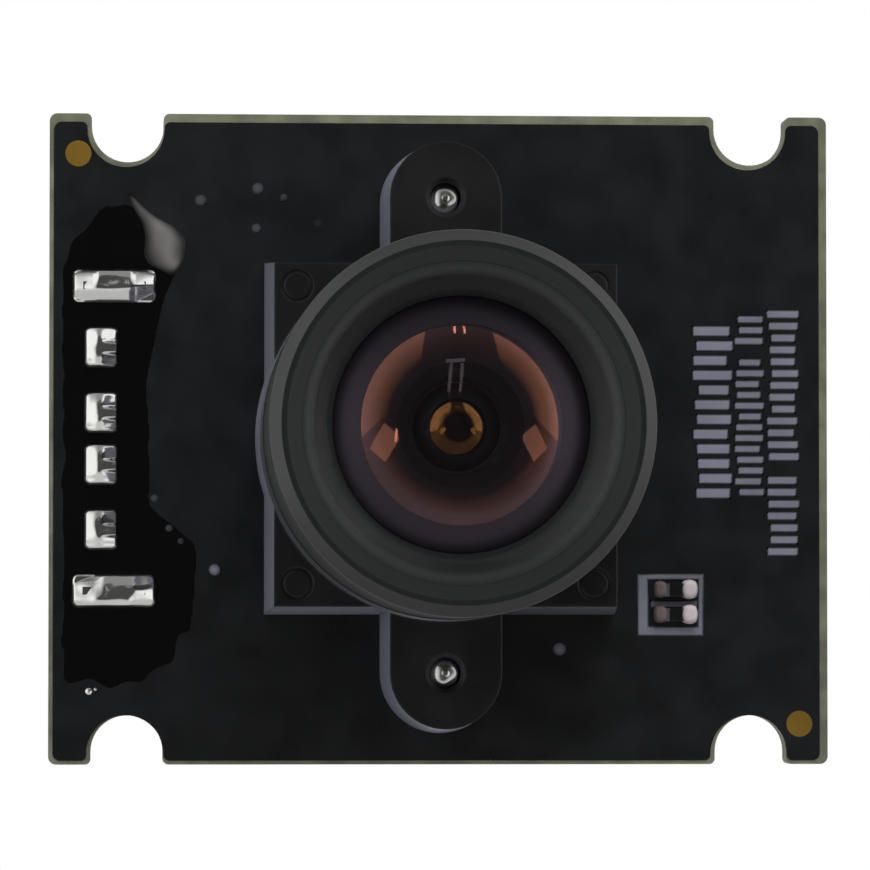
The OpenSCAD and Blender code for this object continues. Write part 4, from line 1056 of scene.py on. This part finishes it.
def tab_joint(name, cx, cy, look, made, seed, up):
    """The solder on one tab's pad: a level crest along the tab, flanks that fall to both ends and
    lean upwards, a slope below the crest and a short round slope above it; up is -1 for the
    lower joint, which mirrors it but for the lean of its flanks."""
    width, height, climb = look.tab_width / MM, look.tab_height / MM, look.climb / MM + 0.08

    def level(x, y):
        """The height of the solder at a place on the board."""
        u, v = x - cx, y - cy
        ends = ramp(np.abs(u), 0.55, 0.85)
        right = ramp(u, 0.5, 0.8)
        if up > 0:
            below = 0.84 * eased(-0.16 + 0.14 * right - v)
            lean = 0.24 * ends * eased(v + 0.05)
            above = 0.85 * eased(v - 0.38)
        else:
            below = 0.5 * eased(-0.34 - v) + 0.25 * right * eased(-0.1 - v)
            lean = 0.30 * ramp(-u, 0.3, 0.8) * eased(v + 0.3)
            above = 0.70 * eased(v - 0.22)
        flanks = 0.37 * eased(-0.70 - u) + 0.42 * eased(u - 0.76)
        dent = 0.05 * np.exp(-((u + 0.15) / 0.3) ** 2 - ((v - 0.2) / 0.16) ** 2)
        shape = climb - flanks - below - above - lean - dent + 0.012 * waves(x, y, 0.8, seed)
        return on_pad(u, v, width, height, shape)

    return joint_piece(name, cx, cy, width, height, 0.024, level, made, "tab_solder")


VARNISH_PATH = [(-1.95, -9.35), (1, -9.35), (1.6, -8.65), (2.3, -8.6), (3.1, -6.2), (3.2, -4.1),
                (1.35, -2.6), (1.35, 0), (1.25, 2.3), (1.85, 5.2), (2.75, 7.2), (0.25, 9.2),
                (-1.7, 7.6), (-2, 6.5)]


def varnish_level(look, plug_x):
    """The varnish's outline and its height: inside a softened outline it rises in a smooth cubic
    to a wavy level, with brush ridges that run along the joints; outside it dips under the mask."""
    outline = softened(VARNISH_PATH, 0.22, 260) + (plug_x, 0)
    ripple = 0.07 * waves(outline[:, 0], outline[:, 1], 1.6, 21)[:, None]
    outline = outline + ripple * (outline - outline.mean(0)) / 3
    depth = look.varnish_depth / MM

    def level(x, y):
        """The height of the varnish at a place on the board."""
        inward = inside_outline(x, y, outline)
        shape = depth * (0.62 + 0.2 * waves(x, y, 2.6, 5) + 0.05 * waves(3 * x, y, 1.3, 9))
        return SKIN_Z + np.where(inward > 0, 0.002 + shape * ramp(inward, 0, 1.2),
                                 np.maximum(inward * 0.5, -0.03))
    return outline, level


def varnish(look, plug_x, made):
    """Varnish brushed round the joints."""
    outline, level = varnish_level(look, plug_x)
    low, high = outline.min(0) - 0.1, outline.max(0) + 0.1
    low[0] = max(low[0], MASK_LOW[0] + 0.05)
    return field_piece("brushed_varnish", low, high, 0.06, level, SKIN_Z - 0.035, [made],
                       node="joint_varnish", stands_for=("joint_varnish",))


# Path of the painted highlight on the varnish: x, y and half width at each point.
SMEAR_PATH = [(0.52, 9.45, 0.05), (0.72, 9.15, 0.12), (0.98, 8.80, 0.20), (1.36, 8.40, 0.30),
             (1.74, 7.98, 0.60), (1.92, 7.40, 0.85), (2.00, 6.95, 0.74), (2.20, 6.61, 0.42),
             (2.24, 6.28, 0.08)]


def painted_smear(look, plug_x, made):
    """A pale smear beside the upper joint, painted over the varnish: a painted highlight where the
    varnish's bump catches the light. It is a strip along a smoothed path, as wide as the path's
    third number either side. It lies on whatever is under it; its attribute cover is 1 along its
    brighter right half and falls to 0 at its rims."""
    path = np.array(SMEAR_PATH)
    along = np.linspace(0, len(path) - 1, 60)
    knots = np.arange(len(path))
    x, y, half = (np.interp(along, knots, path[:, k]) for k in range(3))
    kernel = np.hanning(9) / np.hanning(9).sum()
    x, y, half = (np.convolve(np.pad(q, 4, mode="edge"), kernel, "valid") for q in (x, y, half))
    side = np.linspace(-1, 1, 21)
    grid_x = plug_x + x[:, None] + half[:, None] * side * 0.95
    grid_y = y[:, None] + half[:, None] * side * 0.35
    _, level = varnish_level(look, plug_x)
    under = np.maximum(level(grid_x, grid_y), SKIN_Z)
    fade = (1 - side ** 2) * ramp(np.minimum(along, len(path) - 1 - along), 0, 1.2)[:, None]
    grid_z = under + 0.004 + 0.01 * fade
    top = np.stack([grid_x, grid_y, grid_z], -1).reshape(-1, 3)
    low = np.stack([grid_x, grid_y, np.full_like(grid_z, SKIN_Z - 0.02)], -1).reshape(-1, 3)
    rows, columns = grid_x.shape
    edge = rim_of(rows, columns)
    wall = np.stack([np.roll(edge, -1), np.roll(edge, -1) + len(top), edge + len(top), edge], -1)
    quads = grid_faces(rows, columns)
    faces = np.concatenate([quads[:, ::-1], quads + len(top), wall[:, ::-1]])
    thing = mesh_piece("painted_smear", np.concatenate([top, low]), faces.tolist(), [made],
                       node="joint_varnish")
    swell = ramp(along, 0.5, 4.6)[:, None] * 0.75 + 0.25
    patchy = 0.9 + 0.1 * waves(grid_x, grid_y, 0.7, 51)
    cover = np.clip(fade, 0, 1) ** 1.4 * (0.62 + 0.38 * ramp(side, -0.6, 0.5)) * swell * patchy
    cover = np.concatenate([np.clip(cover, 0, 1).reshape(-1), np.zeros(len(low))])
    return covered(thing, cover)


def end_fillet(name, centre, size, made, node):
    """Solder over the end of a small chip: a flat-topped dome, 0.48 mm high times the square root
    of 1 - share^6, where share runs from 0 at its middle to 1 at its rounded outline."""
    rings, segments, square = 11, 40, 0.28
    share = np.sin(np.linspace(0, 1, rings + 1) * math.pi / 2)[1:]
    ring = circle(segments)
    squared = ring / np.maximum(np.abs(ring).max(-1, keepdims=True), 1e-9) * square + ring * (1 - square)
    flat = centre + share[:, None, None] * squared[None] * np.array(size) / 2
    high = PAD_Z + 0.02 + 0.48 * np.sqrt(np.clip(1 - share ** 6, 0, 1))
    body = np.concatenate([flat, np.broadcast_to(high[:, None, None], (rings, segments, 1))], -1)
    points = np.concatenate([body.reshape(-1, 3), [[*centre, PAD_Z + 0.50]]])
    j = np.arange(segments)
    fan = np.stack([np.full(segments, rings * segments), j, (j + 1) % segments], -1)
    faces = fan.tolist() + grid_faces(rings, segments, close_columns=True).tolist() + [
        ((rings - 1) * segments + j[::-1]).tolist()]
    return mesh_piece(name, points, faces, [made], node=node)


def legend(look, made):
    """The front legend: a heavy-lined frame round the two resistors, and plain dashes in three
    columns where a maker would print its marks. Dash lengths follow a seeded random series."""
    chips_low, chips_high = corners("front_resistor_ends")
    low, high = chips_low[:2] - (0.99, 0.59), chips_high[:2] + (0.62, 0.39)
    printed_frame("front_chip_frame", low, high, (0.48, 0.42, 0.28, 0.28), (0.84, 0.80, 0.60, 0.58),
                  SKIN_Z + 0.002, 0.11, made, node="front_solder_mask")
    middle = (low[1] + high[1]) / 2 + 0.03
    boxes = [(low[0] + 0.5, middle - 0.16, high[0] - 0.25, middle + 0.16)]
    strength = [0.42]
    luck = np.random.default_rng(11)
    most_inset, gap_share = 0.16, 0.06
    columns = ((9.73, 11.38, 4.40, -2.75, 0.95), (11.37, 12.58, 4.80, -2.40, 0.85),
               (12.62, 13.95, 5.02, -4.75, 0.9))
    for left, right, top, bottom, weight in columns:
        pitch = look.dash_pitch / MM * (right - left) / 1.45
        count = int((top - bottom) / pitch)
        drops = luck.uniform(0, most_inset, (count, 2))
        gaps = luck.uniform(0, 1, count) > gap_share
        at = top - pitch * np.arange(count)
        wide = 0.76 * pitch
        for k in np.flatnonzero(gaps):
            inset = drops[k] * (right - left)
            boxes.append((left + inset[0], at[k] - wide, right - inset[1], at[k]))
            strength.append(0.92 * weight)
    return strokes("front_legend", boxes, SKIN_Z + 0.002, 0.09, made, strength,
                   node="front_solder_mask")


def rear_legend(made):
    """Outlines round the rear chips and a dot at each first lead."""
    boxes, dots = [], []
    for node, gap in (("controller_leads", 0.25), ("memory_leads", 0.25), ("crystal_can", 0.3)):
        low, high = corners(node)
        low, high = low[:2] - gap, high[:2] + gap
        printed_frame("rear_frame_" + node, low, high, (0.15,) * 4, (1.0,) * 4, REAR_Z - 0.002,
                      0.04, made, True, "rear_solder_mask")
        dots.append((low[0] - 0.35, high[1] - 0.5))
    for node in ("core_regulator", "sensor_regulator"):
        low, high = corners(node)
        boxes += [(low[0] - 0.5, low[1], low[0] - 0.35, high[1]),
                  (high[0] + 0.35, low[1], high[0] + 0.5, high[1])]
    strokes("rear_legend", boxes, REAR_Z - 0.002, 0.04, made, node="rear_solder_mask", rear=True)
    spots("rear_dots", dots, [0.2] * len(dots), [1.0] * len(dots), REAR_Z, made, 0.01, True,
          "rear_solder_mask")


# Filled vias on the front: x, y, radius and how strongly each shows, as pale ink painted on its dome for
# a painted glint
FRONT_VIAS = [(-10.95, -2.3, 0.16, 0.16), (-10.4, -3.45, 0.16, 0.16), (-9.95, -3.95, 0.14, 0.1),
              (-11.7, -4.2, 0.2, 0.3), (-8.64, -5.04, 0.24, 0.95), (-9.2, 9.17, 0.24, 0.22),
              (-7.0, 9.63, 0.24, 0.25), (-7.05, 8.1, 0.2, 0.2), (-6.0, 9.29, 0.16, 0.12),
              (4.61, -8.06, 0.28, 0.75)]


# Operators -------------------------------------------------------------------------------------

class FINISH_OT_board(bpy.types.Operator):
    """Board edge, both masks, copper discs, legend and vias"""
    bl_idname = "board_camera.board"
    bl_label = "Board"

    def execute(self, context):
        look = context.scene.board_look
        dress("circuit_board", laminate(look.laminate))
        mask = solder_mask(look.mask, look.mask_roughness)
        dress("front_solder_mask", mask)
        dress("rear_solder_mask", mask)
        dress("fiducials", bare_copper(look.copper))
        ink = printed(look.ink, look.mask)
        legend(look, ink)
        rear_legend(ink)
        # The front vias are painted with the pale legend ink, each as strongly as listed: a painted glint
        # on each via.
        vias = np.array(FRONT_VIAS)
        spots("front_vias", vias[:, :2], vias[:, 2], vias[:, 3], SKIN_Z, ink, 0.03, False,
              "front_solder_mask")
        luck = np.random.default_rng(3)
        count = 60
        rear = np.stack([luck.uniform(-6.5, 13, count), luck.uniform(-11, 11, count)], -1)
        clear = np.ones(count, bool)
        for node in ("controller_leads", "memory_leads", "crystal_can", "core_regulator",
                     "sensor_regulator", "rear_capacitor_ends", "rear_resistor_ends"):
            low, high = corners(node)
            if high[0] - low[0] < 10:
                near = (rear > low[:2] - 0.5) & (rear < high[:2] + 0.5)
                clear &= ~near.all(1)
        rear = rear[clear]
        # The rear vias get the same faint pale ink, a painted glint.
        spots("rear_vias", rear, np.full(len(rear), 0.2), np.full(len(rear), 0.12), REAR_Z, ink,
              0.02, True, "rear_solder_mask")
        return {"FINISHED"}


class FINISH_OT_joints(bpy.types.Operator):
    """Solder joints on the pins and tabs, and the varnish round them"""
    bl_idname = "board_camera.joints"
    bl_label = "Joints"

    def execute(self, context):
        look = context.scene.joint_look
        solder = bright_metal("Solder", look.solder, 0.13, 1500.0, 0.000012)
        low, high = corners("pin_solder")
        pin_x = (low[0] + high[0]) / 2
        outer = high[1] - look.pin_height / MM / 2
        inner = 1.0
        for number, y in enumerate((outer, inner, -inner, -outer)):
            piece = pin_joint(f"pin_joint_{number + 1}", pin_x, y, look, solder, 31 + number)
            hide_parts("pin_solder")
        low, high = corners("tab_solder")
        tab_x, tab_y = (low[0] + high[0]) / 2, high[1] - look.tab_height / MM / 2
        for name, up in (("tab_joint_upper", 1), ("tab_joint_lower", -1)):
            piece = tab_joint(name, tab_x, up * tab_y, look, solder, 41 + up, up)
            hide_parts("tab_solder")
        made = moulded("Varnish", look.varnish, 0.09, 700.0, 0.00001, gloss=0.5, rounding=0.0)
        varnish(look, tab_x, made)
        # A painted highlight on the varnish beside the upper joint.
        painted_smear(look, tab_x, printed(look.smear_highlight, look.varnish, "Smear highlight"))
        spots("flux_beads", [(-13.45, -9.70), (-13.2, -9.62)], [0.16, 0.09], [1, 1], SKIN_Z, solder,
              0.10, False, "tab_solder")
        return {"FINISHED"}


class FINISH_OT_holder(bpy.types.Operator):
    """Moulded holder and its two screws"""
    bl_idname = "board_camera.holder"
    bl_label = "Holder"

    def execute(self, context):
        look = context.scene.holder_look
        # The holder's base walls get a painted sheen.
        dress("lens_holder", moulded("Holder plastic", look.plastic, look.roughness, sheen=0.12,
                                     gloss=0.42, rounding=0.00012, painted_wall_sheen=look.painted_wall_sheen))
        plated = bright_metal("Plated screw", look.screw, 0.18)
        screw("screw_upper", "holder_screw_upper", look, plated)
        screw("screw_lower", "holder_screw_lower", look, plated)
        return {"FINISHED"}


class FINISH_OT_lens(bpy.types.Operator):
    """Turned barrel, locking ring, spacers and coated glass"""
    bl_idname = "board_camera.lens"
    bl_label = "Lens"

    def execute(self, context):
        look = context.scene.lens_look
        barrel(look, [anodised("Anodised barrel", look.anodising, look.roughness),
                      anodised("Anodised bevel", look.anodising, look.roughness - 0.06, gloss=0.6),
                      anodised("Anodised side", look.anodising, 0.65, gloss=0.2)])
        locking_ring(anodised("Anodised ring", [1.25 * c for c in look.anodising], look.roughness,
                              12000.0))
        ground = moulded("Ground black edge", (0.0022, 0.0022, 0.0024), 0.5, rounding=0.0)
        spacer = moulded("Spacer black", (0.0012, 0.0014, 0.0014), 0.55, gloss=0.15, rounding=0.0)
        for node in ("front_spacer", "aperture_stop", "rear_spacer"):
            dress(node, spacer)
        weak = [0.25 * c for c in look.orange]
        front_lens(look, (coated_glass("Front face", look.purple, 1.6),
                          one_way(coated_zone("Front rim", look.purple, 1.6,
                                              (0.0085, 0.0074, 0.0098), 0.32), 1.6, True),
                          coated_glass("Hollow face", weak, 1.6),
                          one_way(coated_zone("Hollow rim", look.orange, 1.65,
                                              (0.014, 0.014, 0.018), 0.0), 1.6)), ground)
        second_lens(look, (coated_glass("Inner face", weak, 1.62),
                           coated_zone("Inner zone", look.gold, 1.62, (0.002, 0.002, 0.002), 0.04),
                           coated_zone("Inner rim", (1, 1, 1), 1.3, (0.004, 0.0064, 0.0066), 0.5)),
                    ground)
        clear = coated_glass("Inner glass", (0.5, 0.6, 0.7), 1.5)
        for node in ("third_glass", "rear_glass", "infrared_filter", "sensor_cover_glass"):
            dress(node, clear)
        dress("image_sensor", bright_metal("Silicon", (0.06, 0.07, 0.075), 0.2))
        dress("sensor_solder_balls", bright_metal("Solder balls", (0.7, 0.7, 0.7), 0.3))
        return {"FINISHED"}


class FINISH_OT_plug(bpy.types.Operator):
    """Plug shell, insulator and contacts"""
    bl_idname = "board_camera.plug"
    bl_label = "Plug"

    def execute(self, context):
        look = context.scene.plug_look
        dress("plug_shell", bright_metal("Nickel sheet", look.shell, 0.24))
        dress("plug_insulator", moulded("White plastic", look.insulator, 0.4))
        dress("plug_contacts", bright_metal("Gold flash", look.contact, 0.2))
        return {"FINISHED"}


class FINISH_OT_chips(bpy.types.Operator):
    """Chips, crystal and the small parts"""
    bl_idname = "board_camera.chips"
    bl_label = "Chips"

    def execute(self, context):
        look = context.scene.chip_look
        body = moulded("Chip moulding", look.moulding, 0.5)
        for node in ("controller_chip", "memory_chip", "core_regulator", "sensor_regulator"):
            dress(node, body)
        glaze = moulded("Resistor glaze", (0.006, 0.006, 0.007), 0.25)
        for node in ("front_resistors", "rear_resistors"):
            dress(node, glaze)
        dress("rear_capacitors", moulded("Capacitor ceramic", look.ceramic, 0.4))
        tin = bright_metal("Tin", look.tin, 0.28)
        for node in ("controller_leads", "memory_leads", "regulator_leads", "crystal_can",
                     "front_resistor_ends", "rear_capacitor_ends", "rear_resistor_ends"):
            dress(node, tin)
        low, high = corners("front_resistor_ends")
        # Painted light: the same solder is painted pale on the right ends, as if lit by the lamp at the
        # right, and dark on the left ends, as if in the barrel's shade.
        painted_lit_fillet = moulded("Fillet painted lit", (0.60, 0.53, 0.55), 0.4)
        dull = moulded("Fillet painted shaded", (0.13, 0.10, 0.097), 0.5)
        for number, y in enumerate((high[1] - 0.22, low[1] + 0.27)):
            end_fillet(f"right_fillet_{number + 1}", (high[0] + 0.04, y), (0.66, 0.76), painted_lit_fillet,
                       "front_resistor_ends")
            end_fillet(f"left_fillet_{number + 1}", (low[0] - 0.09, y), (0.54, 0.66), dull,
                       "front_resistor_ends")
        return {"FINISHED"}


# Stage -----------------------------------------------------------------------------------------

def aim(thing, target):
    """Turns a lamp or camera so that it looks at target with its top upwards."""
    thing.rotation_euler = (Vector(target) - thing.location).to_track_quat("-Z", "Y").to_euler()


def shown(recipe):
    """1 for rays from the camera, from gloss and through glass, and 0 for those that light things."""
    path = recipe.add("ShaderNodeLightPath")
    seen = recipe.maths("MAXIMUM", path.outputs["Is Camera Ray"], path.outputs["Is Glossy Ray"])
    return path, recipe.maths("MAXIMUM", seen, path.outputs["Is Transmission Ray"])


def tilted(x, z, wide, tall, turn=0):
    """The corners of a flat rectangle round (x, z), turned by so many degrees."""
    turn = math.radians(turn)
    across = np.array([math.cos(turn), math.sin(turn)]) * wide / 2
    up = np.array([-math.sin(turn), math.cos(turn)]) * tall / 2
    return np.array([x, z]) + [across + up, up - across, -across - up, across - up]


def card(name, outline, y, strength, glow):
    """A flat glowing card in the plane at y, from its corners (x, z) in metres. The camera doesn't
    see it. glow(recipe) gives a share of its strength that may change over it."""
    points = np.array([(x, y, z) for x, z in outline])
    mesh = bpy.data.meshes.new(name)
    mesh.from_pydata(points.tolist(), [], [list(range(len(points)))])
    made, recipe, _ = material(name)
    light = recipe.add("ShaderNodeEmission", None, Color=(1.0, 1.0, 1.0))
    recipe.put(light, "Strength", recipe.maths("MULTIPLY", glow(recipe), strength))
    both = recipe.add("ShaderNodeAddShader")
    recipe.put(both, "in 0", light.outputs[0])
    recipe.put(both, "in 1", recipe.add("ShaderNodeBsdfTransparent").outputs[0])
    recipe.put(output_of(made), "Surface", both.outputs[0])
    mesh.materials.append(made)
    thing = placed(name, mesh)
    thing.visible_camera = False
    thing.visible_shadow = False
    return thing


class FINISH_OT_stage(bpy.types.Operator):
    """Camera, pale floor and soft lamps"""
    bl_idname = "board_camera.stage"
    bl_label = "Stage"

    def execute(self, context):
        scene = context.scene
        look = scene.stage_look
        front = -MASK_LOW[2] * MM
        data = bpy.data.cameras.new("Camera")
        data.lens = look.focal
        data.clip_start = 0.005
        camera = placed("Camera", data)
        camera.location = (-look.side, front - look.distance, -look.drop)
        aim(camera, (-0.171 * MM, front, 0.158 * MM))
        scene.camera = camera
        scene.view_settings.view_transform = "Standard"
        self.world(scene, look)
        self.panels(look)
        self.floor(look)
        return {"FINISHED"}

    def world(self, scene, look):
        """An even light for dull surfaces. The camera sees white; gloss and glass see white behind
        the object and, in front of it, a room that is dark in the middle and pale at both sides.
        The dark middle lies where a direction's cosine to that of toward is above dark_to."""
        world = bpy.data.worlds.new("Studio")
        scene.world = world
        world.use_nodes = True
        recipe = Recipe(world.node_tree)
        world.node_tree.nodes.clear()
        way = recipe.add("ShaderNodeTexCoord").outputs["Generated"]
        x, y, z = recipe.add("ShaderNodeSeparateXYZ", None, Vector=way).outputs
        path, seen = shown(recipe)
        dark_to, pale_from, least = 0.875, 0.84, 0.06
        toward = recipe.total((-0.995, y), (0.08, x), (0.055, z))
        side = recipe.span(toward, dark_to, pale_from)
        wide = recipe.maths("POWER", recipe.maths("ABSOLUTE", x), 4.0)
        wide = recipe.maths("MULTIPLY", wide, recipe.span(z, -0.75, -0.05, 0.15, 1.0))
        low = recipe.maths("MAXIMUM", recipe.maths("MULTIPLY", z, -1.0), 0.0)
        lit = recipe.maths("MULTIPLY", side, recipe.total((4.2, wide), (0.45, low), (1.0, 0.20)))
        room = recipe.maths("MINIMUM", recipe.maths("ADD", lit, least), 1.0)
        behind = recipe.span(y, 0.0, 0.2)
        seen_room = recipe.maths("ADD", room, recipe.maths("MULTIPLY", behind,
                                                           recipe.maths("SUBTRACT", 1.0, room)))
        level = recipe.span(seen, 0, 1, look.even, 0)
        level = recipe.maths("ADD", level, recipe.maths("MULTIPLY", seen, seen_room))
        level = recipe.maths("MAXIMUM", level, path.outputs["Is Camera Ray"])
        back = recipe.add("ShaderNodeBackground", None, Color=(1.0, 1.0, 1.0), Strength=level)
        recipe.put(recipe.add("ShaderNodeOutputWorld"), "Surface", back.outputs[0])
        world.cycles.sampling_method = "NONE"

    def panels(self, look):
        """Glowing cards in one upright plane in front of the lens, the same at both sides of a
        middle line: a large panel that is cut on the slant below and fades inwards, a small tilted
        card under it, an upright tube lamp and a post. A bar lies on the posts, and a narrow card
        gives a glint at the left. Two soft lamps, above and at the left, light dull surfaces.
        Places and sizes of the cards are shares of the reach."""
        reach = look.reach
        y = -BARREL_HIGH[2] * MM - reach
        middle_x, middle_z, fade_from, fade_to = 0.08, 0.06, 0.57, 0.89

        def even(recipe):
            """The same all over, for every ray."""
            return 1.0

        def within(recipe):
            """Only for rays that have been through glass."""
            path = recipe.add("ShaderNodeLightPath")
            return recipe.maths("MINIMUM", path.outputs["Transmission Depth"], 1.0)

        def fading(recipe):
            """As within, and darker towards the middle of the rig."""
            x, _, z = recipe.axes()
            dx = recipe.maths("SUBTRACT", recipe.maths("DIVIDE", x, reach), middle_x)
            dz = recipe.maths("SUBTRACT", recipe.maths("DIVIDE", z, reach), middle_z)
            away = recipe.maths("SQRT", recipe.maths("ADD", recipe.maths("MULTIPLY", dx, dx),
                                                     recipe.maths("MULTIPLY", dz, dz)))
            return recipe.maths("MULTIPLY", recipe.span(away, fade_from, fade_to), within(recipe))

        wing = [(0.32, 0.52), (0.25, 1.8), (1.85, 1.8), (1.85, -0.2), (0.9, -0.1), (0.55, 0.15)]
        for name, side in (("left", -1), ("right", 1)):
            panel = np.array([(middle_x + side * out, up) for out, up in wing])
            under = tilted(middle_x + side * 0.6, -0.09, 0.18, 0.25, side * 35)
            tube = tilted(middle_x + side * 0.042, 0.9, 0.02, 0.11)
            post = tilted(0.025 + side * 0.036, 0.345, 0.02, 0.2, -6)
            card(f"{name.capitalize()} panel", panel * reach, y, look.panel, fading)
            card(f"{name.capitalize()} card", under * reach, y, look.panel * 0.76, within)
            card(f"Twin lamp {name}", tube * reach, y, look.twin, within)
            card(f"Stand {name}", post * reach, y, 0.72, even)
        bar = tilted(0.024, 0.463, 0.125, 0.026, 4)
        glint = tilted(-0.416, -0.03, 0.022, 0.1, -8)
        card("Stand top", bar * reach, y, 0.95, even)
        card("Glint card", glint * reach, y, look.panel * 3.0, within)
        for name, power, place in (("Top lamp", look.top, (0.02, -0.08, 0.10)),
                                   ("Left lamp", look.left, (-0.20, -0.020, -0.015))):
            lamp = bpy.data.lights.new(name, "AREA")
            lamp.size, lamp.energy = 0.08, power
            soft = placed(name, lamp)
            soft.location = place
            aim(soft, (0, 0, 0))
            soft.visible_glossy = soft.visible_transmission = False

    def floor(self, look):
        """A wide flat sheet that curves up behind the object: y along the floor, then an arc. The
        camera sees it white, but for a little of its own shade near the object."""
        low = CAD_BOX[0][2] - look.floor_drop
        near, run, rise, bend, half_wide, glowing = 0.03, 0.5, 0.5, 0.15, 0.8, 0.94
        steps = np.linspace(0, math.pi / 2, 13)
        profile = np.array([(-near, 0)] + [(run + bend * math.sin(a), bend * (1 - math.cos(a)))
                                           for a in steps] + [(run + bend, rise)])
        points = np.zeros((len(profile), 2, 3))
        points[..., 0] = (-half_wide, half_wide)
        points[..., 1] = profile[:, :1]
        points[..., 2] = profile[:, 1:] + low
        mesh = bpy.data.meshes.new("Floor")
        mesh.from_pydata(points.reshape(-1, 3).tolist(), [],
                         grid_faces(len(profile), 2)[:, ::-1].tolist())
        mesh.polygons.foreach_set("use_smooth", np.ones(len(mesh.polygons), bool))
        sheet = placed("Floor", mesh)
        made, recipe, surface = material("Pale floor")
        surface.inputs["Base Color"].default_value = (0.6, 0.6, 0.6, 1)
        surface.inputs["Roughness"].default_value = 0.8
        path, seen = shown(recipe)
        glow = recipe.add("ShaderNodeEmission", None, Color=(1.0, 1.0, 1.0), Strength=1.0)
        lit = recipe.add("ShaderNodeMixShader")
        y = recipe.axes()[1]
        beyond = recipe.maths("MULTIPLY", seen, recipe.span(y, 0.0, 0.01))
        always = recipe.maths("MAXIMUM", beyond, path.outputs["Is Camera Ray"])
        share = recipe.maths("MAXIMUM", recipe.span(y, 0.05, 0.2, glowing, 1.0),
                             recipe.span(y, -near, -0.004, 1.0, glowing))
        recipe.put(lit, "in 0", recipe.maths("MULTIPLY", always, share))
        recipe.put(lit, "in 1", surface.outputs[0])
        recipe.put(lit, "in 2", glow.outputs[0])
        clear = recipe.add("ShaderNodeBsdfTransparent")
        side = recipe.add("ShaderNodeNewGeometry")
        mixed = recipe.add("ShaderNodeMixShader")
        recipe.put(mixed, "in 0", side.outputs["Backfacing"])
        recipe.put(mixed, "in 1", lit.outputs[0])
        recipe.put(mixed, "in 2", clear.outputs[0])
        recipe.put(output_of(made), "Surface", mixed.outputs[0])
        sheet.data.materials.append(made)


class FINISH_PT_panel(bpy.types.Panel):
    """Lists the finishing steps"""
    bl_idname = "FINISH_PT_panel"
    bl_label = "Board camera"
    bl_space_type = "VIEW_3D"
    bl_region_type = "UI"
    bl_category = "Board camera"

    def draw(self, context):
        for step in STEPS:
            self.layout.operator(step.bl_idname)


STEPS = (FINISH_OT_stage, FINISH_OT_board, FINISH_OT_joints, FINISH_OT_holder, FINISH_OT_lens,
         FINISH_OT_plug, FINISH_OT_chips)
LOOKS = {"board_look": BoardLook, "joint_look": JointLook, "holder_look": HolderLook,
         "lens_look": LensLook, "plug_look": PlugLook, "chip_look": ChipLook,
         "stage_look": StageLook}


def register():
    """Adds the sizes, colours, steps and the panel that lists the steps."""
    for look in LOOKS.values():
        bpy.utils.register_class(look)
    for name, look in LOOKS.items():
        setattr(bpy.types.Scene, name, PointerProperty(type=look))
    for step in (*STEPS, FINISH_PT_panel):
        bpy.utils.register_class(step)


def unregister():
    """Takes them all away again."""
    for step in (FINISH_PT_panel, *reversed(STEPS)):
        bpy.utils.unregister_class(step)
    for name, look in LOOKS.items():
        delattr(bpy.types.Scene, name)
        bpy.utils.unregister_class(look)


def main():
    """Runs every step in order."""
    register()
    for step in STEPS:
        module, call = step.bl_idname.split(".")
        getattr(getattr(bpy.ops, module), call)()


if __name__ == "__main__":
    main()
